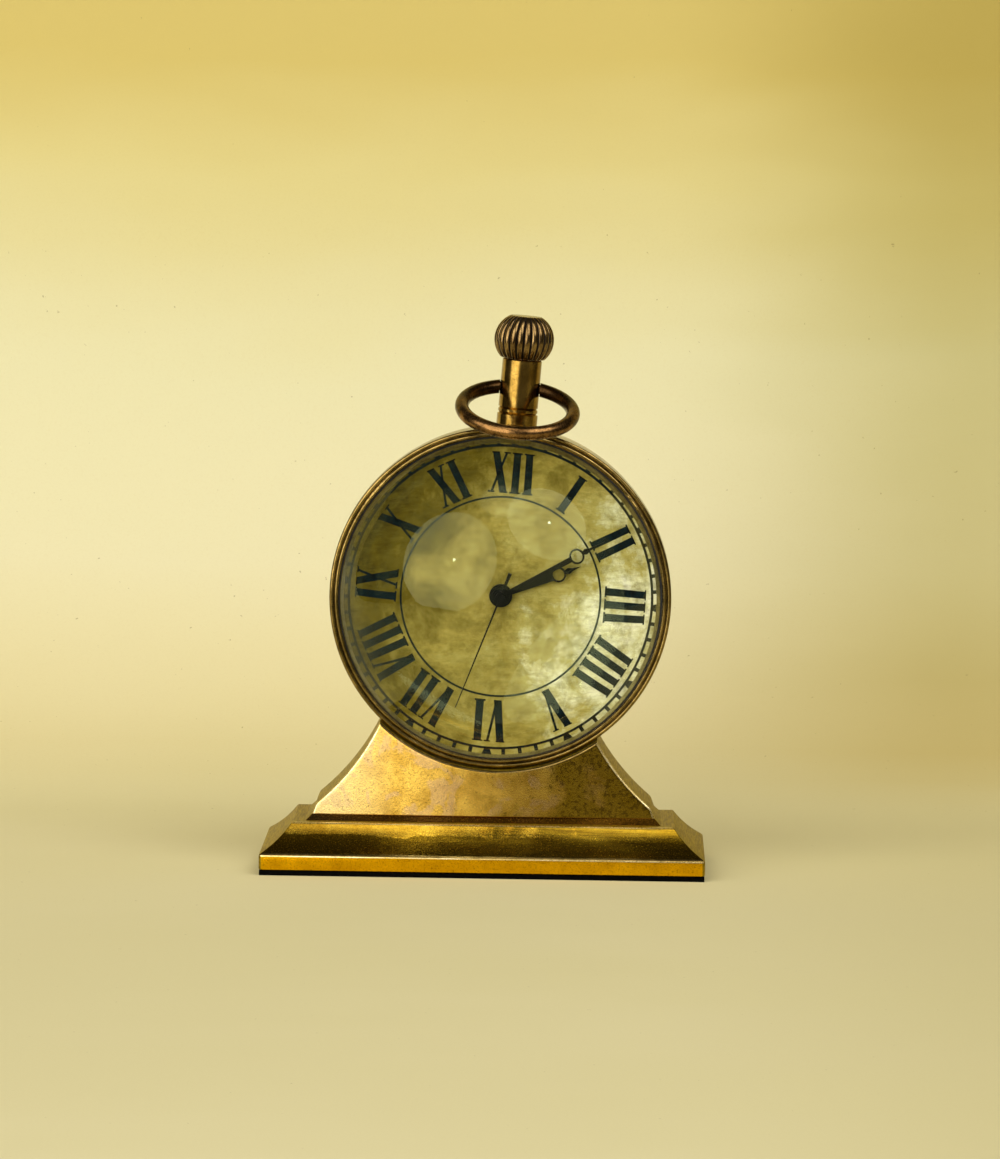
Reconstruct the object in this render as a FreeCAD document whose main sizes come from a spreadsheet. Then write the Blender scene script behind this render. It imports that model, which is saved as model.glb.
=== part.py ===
"""Brass desk clock: a round case with a domed magnifying lens on a stepped base.

The case hangs between the two horns of the base, with a neck, a fluted crown and
a bail (a hinged bow) on top. Millimetres. The frame stands on the table: origin at
the middle of the felt's underside, +Z up, +X to the viewer's right, front at -Y.
"""
import FreeCAD, Part
import math
import os
from types import SimpleNamespace

import Sketcher
from FreeCAD import Placement, Rotation, Vector

doc = FreeCAD.newDocument("desk_clock")

# ---------------------------------------------------------------- driving sizes
SIZES = (
    ("base_width", 80.0, "plinth, side to side"),
    ("base_depth", 36.0, "plinth, front to back"),
    ("felt_thickness", 0.9, "felt pad under the base"),
    ("felt_inset", 0.1, "felt edge inside the plinth edge"),
    ("plinth_height", 2.7, "upright band of the plinth"),
    ("plinth_bevel", 0.35, "bevel along the plinth's upper edge"),
    ("cove_height", 5.0, "hollow moulding above the plinth"),
    ("cove_inset", 5.3, "how far the hollow moulding steps in"),
    ("cove_radius", 18.0, "radius of the hollow moulding"),
    ("ledge_width", 2.3, "flat ledge above the moulding"),
    ("step_height", 1.2, "small sloping step on the ledge"),
    ("step_width", 1.2, "how far the small step slopes in"),
    ("foot_height", 1.8, "flared foot of the upper block, at its two ends"),
    ("foot_flare", 0.65, "how far that foot flares out"),
    ("block_lean", 0.9, "how far the block's front and back lean in up to its top"),
    ("horn_rise", 18.0, "upper block, from its flared foot to its top"),
    ("horn_sweep", 12.6, "how far its concave sides sweep in over that rise"),
    ("horn_radius", 41.5, "radius of the concave sides"),
    ("board_thickness", 2.2, "board that closes the hollow base"),
    ("board_inset", 2.5, "board edge inside the plinth edge"),
    ("wall_lower", 6.0, "wall of the casting around its lower hollow"),
    ("hollow_height", 3.6, "lower hollow, above the board"),
    ("tower_hollow_width", 44.0, "upper hollow, side to side"),
    ("wall_upper", 2.2, "wall in front of and behind the upper hollow"),
    ("cradle_lift", 18.3, "lowest line of the cradle above the table"),
    ("cradle_floor", 3.6, "metal under that line"),
    ("board_boss_radius", 3.0, "bosses for the board's screws"),
    ("board_boss_spread", 27.0, "bosses from the middle"),
    ("board_screw_radius", 1.0, "board screw, shank"),
    ("board_screw_head", 2.0, "board screw, head radius"),
    ("board_screw_sink", 0.8, "board screw, head height"),
    ("board_screw_length", 5.0, "board screw, overall"),
    # the case
    ("case_offset", 2.5, "case centre to the right of the base's centre"),
    ("case_roll", 4.4, "case turned clockwise, in degrees"),
    ("cradle_gap", 0.9, "between case band and cradle"),
    ("band_radius", 30.2, "case band, outside"),
    ("band_wall", 2.0, "case band, wall"),
    ("band_back", -9.0, "rear edge of the band, along the case axis"),
    ("bezel_back", 1.5, "rear edge of the bezel"),
    ("spigot_front", 4.0, "front edge of the band's spigot"),
    ("bezel_radius", 30.8, "bezel, outside"),
    ("bezel_front", 7.0, "front of the bezel's beads"),
    ("outer_bead", 0.4, "radius of the outer bead"),
    ("inner_bead", 0.35, "radius of the inner bead"),
    ("bead_groove", 0.1, "groove between the beads"),
    ("bead_depth", 0.9, "how deep that groove goes"),
    ("gasket_wall", 0.4, "lens gasket, wall"),
    ("gasket_foot", 1.0, "lens gasket, foot"),
    ("gasket_shy", 0.5, "gasket edge behind the beads"),
    ("lens_radius", 28.8, "lens, edge radius"),
    ("lens_dome", 31.9, "lens, radius of the dome"),
    ("lens_front", 26.5, "lens, top of the dome"),
    ("dial_back", 1.0, "rear face of the dial"),
    ("dial_thickness", 0.4, "dial plate"),
    ("dial_radius", 28.0, "dial plate, edge"),
    ("dial_hole", 1.45, "hole for the hands"),
    ("rehaut_foot", 3.3, "spacer ring, width where it meets the dial"),
    ("rehaut_lip", 2.4, "spacer ring, width where it meets the lens"),
    ("cover_wall", 0.8, "back cover, sheet thickness"),
    ("cover_lip", 1.4, "back cover, lip inside the band"),
    ("cover_rise", 8.0, "back cover, height of its dome"),
    ("cover_dome", 58.0, "back cover, radius of its dome"),
    ("cover_seal", 0.6, "section of the seal behind the cover"),
    ("holder_back", -7.0, "movement holder, rear face"),
    ("holder_gap", 0.1, "movement holder inside the band"),
    ("fit_gap", 0.03, "between pieces that fit into one another"),
    ("fixing_radius", 1.25, "fixing screw, shank"),
    ("fixing_head", 2.1, "fixing screw, head radius"),
    ("fixing_head_height", 2.0, "fixing screw, head height"),
    ("fixing_bite", 1.6, "fixing screw, depth in the band"),
    ("washer_radius", 3.2, "saddle washer, outside"),
    # neck, crown and bail
    ("neck_plane", -3.5, "plane of the neck, along the case axis"),
    ("neck_radius", 3.575, "neck, outside"),
    ("neck_bore", 1.9, "neck, bore radius"),
    ("neck_top", 42.65, "top of the neck, from the case axis"),
    ("collar_step", 0.12, "collar below the grooves, outside the neck"),
    ("neck_ring", 32.8, "first of the two grooves around the neck"),
    ("ring_pitch", 0.9, "from one groove to the next"),
    ("ring_half", 0.24, "half width of a groove"),
    ("ring_depth", 0.24, "depth of those grooves"),
    ("bush_length", 2.2, "bush in the top of the neck"),
    ("pivot_height", 37.4, "bail pivot, from the case axis"),
    ("pin_radius", 0.85, "bail pins"),
    ("pin_reach", 2.5, "inner end of each pin, from the neck's middle"),
    ("pin_play", 0.05, "play around a bail pin"),
    ("bail_wire", 1.25, "bail, wire radius"),
    ("bail_radius", 10.02, "bail, middle of the wire"),
    ("bail_reach", 9.53, "bail, pivot to the middle of the ring"),
    ("bail_gap", 0.08, "between the neck and the ends of the bail's ring"),
    ("pin_root", 0.15, "depth of a bail pin in the end of the ring"),
    ("bail_droop", 20.5, "bail at rest, degrees below level"),
    ("crown_radius", 5.44, "crown, outside"),
    ("crown_foot", 3.85, "crown, radius of its foot"),
    ("crown_cap", 2.85, "crown, radius of its flat top"),
    ("crown_gap", 0.1, "between neck and crown"),
    ("crown_height", 7.65, "crown, overall"),
    ("crown_belly", 3.4, "crown, foot to its widest line"),
    ("crown_bore_depth", 4.5, "crown, depth of its stem hole"),
    ("flute_radius", 0.45, "section of the flutes around the crown"),
    ("flute_shy", 0.05, "middle of that section outside the crown's side"),
    ("flute_run_out", 7.0, "how far a flute runs on past both ends, in degrees"),
    ("flute_count", 24, "number of flutes"),
    ("stem_radius", 0.6, "stem inside the movement"),
    ("stem_shoulder", 28.7, "where the stem grows thicker"),
    ("stem_thick", 1.1, "stem in the neck"),
    ("stem_start", 6.35, "inner end of the stem"),
    ("stem_play", 0.04, "play around the stem"),
    ("clutch_start", 6.5, "setting pinion, inner face"),
    ("clutch_width", 0.6, "setting pinion, width"),
    ("stem_groove", 14.1, "groove that the setting lever holds"),
    ("stem_groove_width", 0.6, "width of that groove"),
    ("stem_waist", 0.4, "radius in that groove"),
    ("crown_travel", 1.0, "how far the crown pulls out"),
    # movement
    ("movement_radius", 19.5, "main plate"),
    ("plate_front", -2.2, "main plate, front face"),
    ("plate_thickness", 1.0, "main plate"),
    ("bridge_front", -6.1, "train bridge, front face"),
    ("bridge_thickness", 0.5, "train bridge"),
    ("arbor_radius", 0.25, "arbors"),
    ("arbor_play", 0.04, "play around an arbor"),
    ("pipe_wall", 0.21, "wall of the centre pipe"),
    ("cannon_wall", 0.31, "wall of the cannon pinion's tube"),
    ("hour_wall", 0.36, "wall of the hour wheel's tube"),
    ("train_module", 0.2, "tooth module"),
    ("fifth_module", 0.28, "tooth module of the seconds wheel and the fifth pinion"),
    ("wheel_thickness", 0.25, "wheels"),
    ("pinion_length", 0.45, "pinions"),
    ("centre_level", -3.7, "centre wheel"),
    ("fifth_level", -4.1, "fifth wheel"),
    ("third_level", -4.6, "third wheel"),
    ("seconds_level", -5.2, "seconds wheel"),
    ("cannon_level", -1.25, "cannon pinion and minute wheel"),
    ("hour_level", -0.2, "hour wheel"),
    ("rotor_radius", 1.4, "rotor magnet"),
    ("rotor_length", 0.8, "rotor magnet"),
    ("rotor_gap", 0.35, "between rotor and stator"),
    ("stator_thickness", 0.4, "stator"),
    ("coil_radius", 1.5, "coil"),
    ("coil_length", 9.0, "coil"),
    ("core_thickness", 0.6, "coil core"),
    ("battery_radius", 3.4, "button cell"),
    ("battery_height", 2.6, "button cell"),
    ("clamp_thickness", 0.3, "battery clamp"),
    ("circuit_thickness", 0.8, "circuit board"),
    ("circuit_width", 5.5, "circuit board"),
    ("circuit_length", 19.0, "circuit board"),
    ("circuit_edge", 10.0, "circuit board, near edge from the middle"),
    ("circuit_gap", 1.0, "circuit board behind the main plate"),
    ("crystal_radius", 1.0, "quartz crystal's can"),
    ("crystal_length", 6.0, "quartz crystal's can"),
    ("chip_drop", 2.4, "resin over the chip, radius of its dome"),
    ("chip_rise", 0.9, "resin over the chip, height"),
    ("stator_arm", 2.2, "stator, half its height"),
    # hands
    ("hand_thickness", 0.2, "hands"),
    ("hour_hand_level", 1.75, "hour hand, rear face"),
    ("minute_hand_level", 2.6, "minute hand, rear face"),
    ("second_hand_level", 3.4, "second hand, rear face"),
    ("hour_hand_length", 11.4, "hour hand, axis to tip"),
    ("minute_hand_length", 16.5, "minute hand, axis to tip"),
    ("second_hand_length", 16.7, "second hand, axis to tip"),
    ("second_hand_tail", 3.5, "second hand, axis to tail"),
    ("hour_hub", 1.5, "hour hand, radius of its hub"),
    ("hour_eye_at", 8.1, "hour hand, axis to the middle of its pierced eye"),
    ("hour_eye", 1.02, "hour hand, outer radius of the eye"),
    ("hour_waist", 0.35, "hour hand, half width beside the hub"),
    ("hour_shoulder", 0.55, "hour hand, half width beside the eye"),
    ("minute_hub", 1.15, "minute hand, radius of its hub"),
    ("minute_eye_at", 11.75, "minute hand, axis to the middle of its pierced eye"),
    ("minute_eye", 1.07, "minute hand, outer radius of the eye"),
    ("minute_waist", 0.27, "minute hand, half width beside the hub"),
    ("minute_shoulder", 0.38, "minute hand, half width beside the eye"),
    ("eye_rim", 0.24, "width of the rim around an eye"),
    ("tip_flare", 0.42, "half width of the small flare beyond an eye"),
    ("second_hub", 0.63, "second hand, radius of its hub"),
    ("second_cap", 0.3, "second hand, closed hub in front of the hand"),
    ("second_grip", 0.1, "how far the arbor reaches into that hub"),
    ("second_pointer", 0.13, "second hand, half width beside the hub"),
    ("second_tail", 0.26, "second hand, half width of its tail"),
    ("hour_turn", 64.8, "hour hand, degrees past twelve"),
    ("minute_turn", 57.0, "minute hand, degrees past twelve"),
    ("second_turn", 197.0, "second hand, degrees past twelve"),
)


class Size:
    """A number together with the spreadsheet expression that it comes from."""

    def __init__(self, text, number):
        self.text = text
        self.number = float(number)

    def joined(self, sign, other, number):
        other_text = other.text if isinstance(other, Size) else repr(other)
        return Size("(%s %s %s)" % (self.text, sign, other_text), number)

    def __add__(self, other):
        return self.joined("+", other, self.number + float(other))

    def __sub__(self, other):
        return self.joined("-", other, self.number - float(other))

    def __mul__(self, other):
        return self.joined("*", other, self.number * float(other))

    def __truediv__(self, other):
        return self.joined("/", other, self.number / float(other))

    def __neg__(self):
        return Size("(-%s)" % self.text, -self.number)

    def __float__(self):
        return self.number


def leg(long_side, short_side):
    """Third side of a right triangle, from its longest side and another."""
    number = math.sqrt(float(long_side) ** 2 - float(short_side) ** 2)
    return Size("sqrt(%s^2 - %s^2)" % (long_side.text, short_side.text), number)


def read_sizes(rows):
    sheet = doc.addObject("Spreadsheet::Sheet", "Sizes")
    known = SimpleNamespace()
    for row, (alias, amount, meaning) in enumerate(rows, start=1):
        sheet.set("A%d" % row, meaning)
        sheet.set("B%d" % row, str(amount))
        sheet.setAlias("B%d" % row, alias)
        setattr(known, alias, Size("Sizes." + alias, amount))
    doc.recompute()
    return known


s = read_sizes(SIZES)
ZERO = Size("0", 0)

# ---------------------------------------------------------------- frames
BASE = Placement()
head_height = s.cradle_lift + s.band_radius + s.cradle_gap
HEAD = Placement(
    Vector(float(s.case_offset), 0, float(head_height)),
    Rotation(Vector(0, 1, 0), float(s.case_roll)) * Rotation(Vector(1, 0, 0), 90),
)
NECK = HEAD * Placement(Vector(0, 0, float(s.neck_plane)), Rotation(Vector(1, 0, 0), -90))


def beside(frame, x, y, z=0.0):
    """The same frame, moved within itself."""
    return frame * Placement(Vector(float(x), float(y), float(z)), Rotation())


# ---------------------------------------------------------------- makers
TURNED_TO = {
    "x": Rotation(Vector(0, 1, 0), 90),
    "y": Rotation(Vector(1, 0, 0), -90),
    "z": Rotation(),
}
pieces = []


def tie(item, prop, value):
    """Bind a property to the spreadsheet, or set it where it is a plain number."""
    if isinstance(value, Size):
        item.setExpression(prop, value.text)
    else:
        setattr(item, prop, value)


def rod(name, radius, low, high, at=(ZERO, ZERO, ZERO), along="z"):
    """A cylinder from low to high along one axis, and at the other two places of at."""
    item = doc.addObject("Part::Cylinder", name)
    item.Placement = Placement(Vector(), TURNED_TO[along])
    tie(item, "Radius", radius)
    tie(item, "Height", high - low)
    place = dict(zip("xyz", at))
    place[along] = low
    for axis, value in place.items():
        tie(item, "Placement.Base." + axis, value)
    return item


def brick(name, lows, highs):
    """A box from its lowest to its highest corner."""
    item = doc.addObject("Part::Box", name)
    for prop, axis, low, high in zip(("Length", "Width", "Height"), "xyz", lows, highs):
        tie(item, prop, high - low)
        tie(item, "Placement.Base." + axis, low)
    return item


def joined(name, *items):
    item = doc.addObject("Part::MultiFuse", name)
    item.Shapes = list(items)
    return item


def cut(name, base, *tools):
    item = doc.addObject("Part::Cut", name)
    item.Base = base
    item.Tool = tools[0] if len(tools) == 1 else joined(name + "_tools", *tools)
    return item


def shared(name, first, second):
    item = doc.addObject("Part::Common", name)
    item.Base = first
    item.Tool = second
    return item


def own_plane(body, role):
    for feature in body.Origin.OriginFeatures:
        if feature.Role == role:
            return feature
    raise LookupError(role)


def profile(body, name, outline, arcs, role):
    """A closed sketch through the outline's points, each tied to the spreadsheet.

    arcs gives a radius for the side that starts at a point's index: positive where
    the side turns left on its way, negative where it turns right.
    """
    sketch = body.newObject("Sketcher::SketchObject", name)
    sketch.AttachmentSupport = [(own_plane(body, role), "")]
    sketch.MapMode = "FlatFace"
    count = len(outline)
    spots = [Vector(float(x), float(y), 0) for x, y in outline]
    ends = []
    for index, spot in enumerate(spots):
        after = spots[(index + 1) % count]
        if index not in arcs:
            sketch.addGeometry(Part.LineSegment(spot, after))
            ends.append((1, 2))
            continue
        radius = float(arcs[index])
        chord = after - spot
        side = Vector(-chord.y, chord.x, 0).normalize()
        reach = math.sqrt(radius ** 2 - (chord.Length / 2) ** 2)
        centre = spot + chord * 0.5 + side * math.copysign(reach, radius)
        circle = Part.Circle(centre, Vector(0, 0, 1), abs(radius))
        first = math.atan2(spot.y - centre.y, spot.x - centre.x)
        last = math.atan2(after.y - centre.y, after.x - centre.x)
        if radius > 0:
            sketch.addGeometry(Part.ArcOfCircle(circle, first, last))
            ends.append((1, 2))
        else:
            sketch.addGeometry(Part.ArcOfCircle(circle, last, first))
            ends.append((2, 1))
    for index in range(count):
        after = (index + 1) % count
        sketch.addConstraint(Sketcher.Constraint("Coincident", index, ends[index][1], after, ends[after][0]))
    for index, (x, y) in enumerate(outline):
        start = ends[index][0]
        for kind, value in (("DistanceX", x), ("DistanceY", y)):
            number = sketch.addConstraint(Sketcher.Constraint(kind, -1, 1, index, start, float(value)))
            if isinstance(value, Size) and value is not ZERO:
                sketch.setExpression("Constraints[%d]" % number, value.text)
        if index in arcs:
            size = abs(float(arcs[index]))
            number = sketch.addConstraint(Sketcher.Constraint("Radius", index, size))
            text = arcs[index].text
            sketch.setExpression("Constraints[%d]" % number, "abs(%s)" % text)
    return sketch


def turned(name, outline, arcs=None):
    """A piece turned on a lathe: the outline gives (radius, height) around +Z."""
    body = doc.addObject("PartDesign::Body", name)
    sketch = profile(body, name + "_outline", outline, arcs or {}, "XZ_Plane")
    spin = body.newObject("PartDesign::Revolution", name + "_turning")
    spin.Profile = sketch
    spin.ReferenceAxis = (sketch, ["V_Axis"])
    spin.Angle = 360
    body.Tip = spin
    return body


def ring(name, inner, outer, low, high):
    return turned(name, [(inner, low), (outer, low), (outer, high), (inner, high)])


def disc(name, outer, low, high):
    return ring(name, ZERO, outer, low, high)


def solid(name, shape):
    """A piece whose outline only a formula gives."""
    item = doc.addObject("Part::Feature", name)
    item.Shape = shape
    return item


def piece(item, label, frame=BASE):
    """Name a finished sub-part and set it in its place."""
    item.Label = label
    item.Placement = frame
    pieces.append(item)
    return item


def settled(item, label):
    """Name a finished sub-part whose own Placement already sets it in its place."""
    item.Label = label
    pieces.append(item)
    return item


def mirrored_outline(right):
    """Close an outline from its right half, given bottom to top."""
    return list(right) + [(-x, z) for x, z in reversed(right)]


# ---------------------------------------------------------------- base
felt_top = s.felt_thickness
plinth_top = felt_top + s.plinth_height
cove_foot = plinth_top + s.plinth_bevel
cove_top = cove_foot + s.cove_height
step_top = cove_top + s.step_height
foot_top = step_top + s.foot_height
horn_top = foot_top + s.horn_rise


def moulding(half, block_side):
    """Right half of the base's outline: plinth, cove, ledge and step, then the block's side."""
    ledge = half - s.plinth_bevel - s.cove_inset
    step = ledge - s.ledge_width
    foot = step - s.step_width
    lower = [
        (half, felt_top),
        (half, plinth_top),
        (half - s.plinth_bevel, cove_foot),
        (ledge, cove_top),
        (step, cove_top),
        (foot, step_top),
    ]
    return lower + [(foot - inset, height) for inset, height in block_side]


# sides of that outline, by the point each starts from
COVE_SIDE = 2
HORN_SIDE = 6


def moulded(name, half, block_side, role, depth, horn_arc):
    """The outline drawn out to a length; its right side's arcs mirror its left's."""
    body = doc.addObject("PartDesign::Body", name)
    outline = mirrored_outline(moulding(half, block_side))
    hollows = {COVE_SIDE: s.cove_radius}
    if horn_arc:
        hollows[HORN_SIDE] = s.horn_radius
    arcs = {}
    for side, radius in hollows.items():
        arcs[side] = -radius
        arcs[len(outline) - side - 2] = -radius
    sketch = profile(body, name + "_outline", outline, arcs, role)
    pad = body.newObject("PartDesign::Pad", name + "_pad")
    pad.Profile = sketch
    pad.Midplane = True
    tie(pad, "Length", depth)
    body.Tip = pad
    return body


half_width = s.base_width / 2
half_depth = s.base_depth / 2
block_depth = (half_depth - s.plinth_bevel - s.cove_inset - s.ledge_width - s.step_width
               - s.block_lean)
board_top = felt_top + s.board_thickness
hollow_top = board_top + s.hollow_height
ceiling = s.cradle_lift - s.cradle_floor
cradle_radius = s.band_radius + s.cradle_gap
fixing_y = -s.neck_plane


def make_base():
    horn_side = [(s.foot_flare, foot_top), (s.foot_flare + s.horn_sweep, horn_top)]
    across = moulded("base_across", half_width, horn_side, "XZ_Plane", s.base_depth, True)
    leaning_side = [(s.block_lean, horn_top)]
    along = moulded("base_along", half_depth, leaning_side, "YZ_Plane", s.base_width, False)
    block = shared("base_block", across, along)
    cradle = rod("cradle", cradle_radius, -half_depth, half_depth,
                 (s.case_offset, ZERO, head_height), "y")
    rebate = brick("board_rebate",
                   (-half_width + s.board_inset, -half_depth + s.board_inset, felt_top),
                   (half_width - s.board_inset, half_depth - s.board_inset, board_top))
    lower = brick("lower_hollow",
                  (-half_width + s.wall_lower, -half_depth + s.wall_lower, felt_top),
                  (half_width - s.wall_lower, half_depth - s.wall_lower, hollow_top))
    tower = brick("upper_hollow",
                  (-s.tower_hollow_width / 2, -block_depth + s.wall_upper, felt_top),
                  (s.tower_hollow_width / 2, block_depth - s.wall_upper, ceiling))
    hole = rod("fixing_hole", s.fixing_radius, felt_top, head_height,
               (s.case_offset, fixing_y, ZERO))
    shell = cut("base_shell", block, cradle, rebate, lower, tower, hole)
    bosses = [
        rod("board_boss", s.board_boss_radius, board_top, hollow_top, (side, ZERO, ZERO))
        for side in (-s.board_boss_spread, s.board_boss_spread)
    ]
    drilled = [
        rod("board_thread", s.board_screw_radius, felt_top, felt_top + s.board_screw_length,
            (side, ZERO, ZERO))
        for side in (-s.board_boss_spread, s.board_boss_spread)
    ]
    casting = cut("casting", joined("casting_blank", shell, *bosses), *drilled)
    piece(casting, "base_casting")


def make_base_closure():
    felt = brick("felt", (-half_width + s.felt_inset, -half_depth + s.felt_inset, ZERO),
                 (half_width - s.felt_inset, half_depth - s.felt_inset, felt_top))
    settled(felt, "felt_pad")
    board = brick("board_blank",
                  (-half_width + s.board_inset, -half_depth + s.board_inset, felt_top),
                  (half_width - s.board_inset, half_depth - s.board_inset, board_top))
    screws = []
    holes = []
    for side in (-s.board_boss_spread, s.board_boss_spread):
        spot = (side, ZERO, ZERO)
        tip = felt_top + s.board_screw_length
        sunk = felt_top + s.board_screw_sink
        for found in (screws, holes):
            found.append(rod("board_screw_head", s.board_screw_head, felt_top, sunk, spot))
            found.append(rod("board_screw_shank", s.board_screw_radius, felt_top, tip, spot))
    piece(cut("board", board, *holes), "base_board")
    piece(joined("board_screw_pair", *screws), "board_screws")


def make_fixing():
    """The screw that holds the case to the base, and the saddle between them."""
    spot = (s.case_offset, fixing_y, ZERO)
    tip = s.cradle_lift + s.cradle_gap + s.fixing_bite
    head = rod("fixing_screw_head", s.fixing_head, ceiling - s.fixing_head_height, ceiling, spot)
    shank = rod("fixing_screw_shank", s.fixing_radius, ceiling - s.fixing_head_height, tip, spot)
    slot_half = s.fixing_radius / 4
    slot = brick("fixing_slot",
                 (s.case_offset - s.fixing_head, fixing_y - slot_half,
                  ceiling - s.fixing_head_height),
                 (s.case_offset + s.fixing_head, fixing_y + slot_half,
                  ceiling - s.fixing_head_height * 0.6))
    piece(cut("fixing", joined("fixing_blank", head, shank), slot), "fixing_screw")
    drum = rod("saddle_drum", s.washer_radius, ceiling, head_height, spot)
    outer = rod("saddle_outer", cradle_radius, -half_depth, half_depth,
                (s.case_offset, ZERO, head_height), "y")
    inner = rod("saddle_inner", s.band_radius, -half_depth, half_depth,
                (s.case_offset, ZERO, head_height), "y")
    hole = rod("saddle_hole", s.fixing_radius, ceiling, head_height, spot)
    saddle = cut("saddle", shared("saddle_arc", drum, outer), inner, hole)
    piece(saddle, "saddle_washer")


# ---------------------------------------------------------------- case
band_bore = s.band_radius - s.band_wall
lens_bore = s.lens_radius + s.gasket_wall
lens_seat = s.spigot_front + s.gasket_foot
lens_edge = s.lens_front - s.lens_dome + leg(s.lens_dome, s.lens_radius)
dial_front = s.dial_back + s.dial_thickness


def make_band():
    blank = turned("band_blank", [
        (band_bore, s.band_back),
        (s.band_radius, s.band_back),
        (s.band_radius, s.bezel_back),
        (lens_bore, s.bezel_back),
        (lens_bore, s.spigot_front),
        (band_bore, s.spigot_front),
    ])
    stem_hole = rod("band_stem_hole", s.stem_thick + s.stem_play, ZERO, s.neck_top,
                    (ZERO, ZERO, s.neck_plane), "y")
    # the fixing screw comes straight up, whatever the case's roll
    thread = Part.makeCylinder(float(s.fixing_radius), float(s.fixing_bite) * 2,
                               Vector(0, -float(s.band_radius - s.fixing_bite), float(s.neck_plane)),
                               Vector(0, -1, 0))
    thread.rotate(Vector(), Vector(0, 0, 1), float(s.case_roll))
    piece(cut("band", blank, stem_hole, solid("band_thread", thread)), "case_band", HEAD)


def make_bezel():
    outer_mid = s.bezel_radius - s.outer_bead
    outer_in = outer_mid - s.outer_bead
    inner_out = outer_in - s.bead_groove
    inner_in = inner_out - s.inner_bead * 2
    outer_rise = s.bezel_front - s.outer_bead
    inner_rise = s.bezel_front - s.inner_bead
    floor = s.bezel_front - s.bead_depth
    bore = lens_bore + s.fit_gap
    bezel = turned("bezel_ring", [
        (bore, s.bezel_back),
        (s.bezel_radius - s.outer_bead, s.bezel_back),
        (s.bezel_radius, s.bezel_back + s.outer_bead),
        (s.bezel_radius, outer_rise),
        (outer_in, outer_rise),
        (outer_in, floor),
        (inner_out, floor),
        (inner_out, inner_rise),
        (inner_in, inner_rise),
        (bore, floor),
    ], {1: s.outer_bead, 3: s.outer_bead * 1.0001, 7: s.inner_bead * 1.0001})
    piece(bezel, "bezel", HEAD)


def make_lens():
    gasket_front = s.bezel_front - s.gasket_shy - s.inner_bead
    piece(turned("gasket", [
        (band_bore, s.spigot_front),
        (lens_bore, s.spigot_front),
        (lens_bore, gasket_front),
        (s.lens_radius, gasket_front),
        (s.lens_radius, lens_seat),
        (band_bore, lens_seat),
    ]), "lens_gasket", HEAD)
    piece(turned("lens", [
        (ZERO, lens_seat),
        (s.lens_radius, lens_seat),
        (s.lens_radius, lens_edge),
        (ZERO, s.lens_front),
    ], {2: s.lens_dome}), "dome_lens", HEAD)
    rehaut_edge = band_bore - s.fit_gap
    piece(turned("rehaut", [
        (band_bore - s.rehaut_foot, dial_front),
        (rehaut_edge, dial_front),
        (rehaut_edge, lens_seat),
        (band_bore - s.rehaut_lip, lens_seat),
    ]), "rehaut_ring", HEAD)
    piece(ring("dial", s.dial_hole, s.dial_radius, s.dial_back, dial_front), "dial_plate", HEAD)


def make_back_cover():
    flange_back = s.band_back - s.cover_wall
    lip_out = band_bore - s.fit_gap
    lip_in = lip_out - s.cover_wall
    crest = flange_back - s.cover_rise
    edge = s.band_radius - s.cover_wall
    piece(turned("cover", [
        (ZERO, crest + s.cover_wall),
        (ZERO, crest),
        (edge, flange_back),
        (s.band_radius, s.band_back),
        (lip_out, s.band_back),
        (lip_out, s.band_back + s.cover_lip),
        (lip_in, s.band_back + s.cover_lip),
        (lip_in, flange_back + s.cover_wall),
    ], {1: s.cover_dome, 7: -s.cover_dome}), "back_cover", HEAD)
    seal_back = s.band_back + s.cover_lip
    piece(ring("seal", lip_in, lip_out, seal_back, seal_back + s.cover_seal), "cover_seal", HEAD)


# ---------------------------------------------------------------- neck, crown, bail
def make_neck():
    groove = s.neck_radius - s.ring_depth
    collar = s.neck_radius + s.collar_step
    outline = [(s.neck_bore, band_bore), (collar, band_bore)]
    for number, below in enumerate((collar, s.neck_radius)):
        middle = s.neck_ring + s.ring_pitch * number
        outline.append((below, middle - s.ring_half))
        outline.append((groove, middle))
        outline.append((s.neck_radius, middle + s.ring_half))
    outline.append((s.neck_radius, s.neck_top - s.ring_depth))
    outline.append((s.neck_radius - s.ring_depth, s.neck_top))
    outline.append((s.neck_bore, s.neck_top))
    blank = turned("neck_blank", outline)
    blank.Placement = Placement(Vector(0, 0, float(s.neck_plane)), Rotation(Vector(1, 0, 0), -90))
    saddle = rod("neck_saddle", s.band_radius, s.band_back - s.neck_radius, s.neck_radius)
    pins = [
        rod("pin_hole", s.pin_radius + s.pin_play, s.pin_reach - s.pin_play, s.neck_radius,
            (ZERO, s.pivot_height, s.neck_plane), "x"),
        rod("pin_hole", s.pin_radius + s.pin_play, -s.neck_radius, -s.pin_reach + s.pin_play,
            (ZERO, s.pivot_height, s.neck_plane), "x"),
    ]
    piece(cut("neck", blank, saddle, *pins), "neck_tube", HEAD)
    bush_low = s.neck_top - s.bush_length
    piece(ring("bush", s.stem_thick + s.stem_play, s.neck_bore, bush_low, s.neck_top),
          "stem_bush", NECK)


def arc_radius(width, height):
    """Radius of an arc that starts upright and ends width further in and height away."""
    return (width * width + height * height) / (width * 2)


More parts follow.
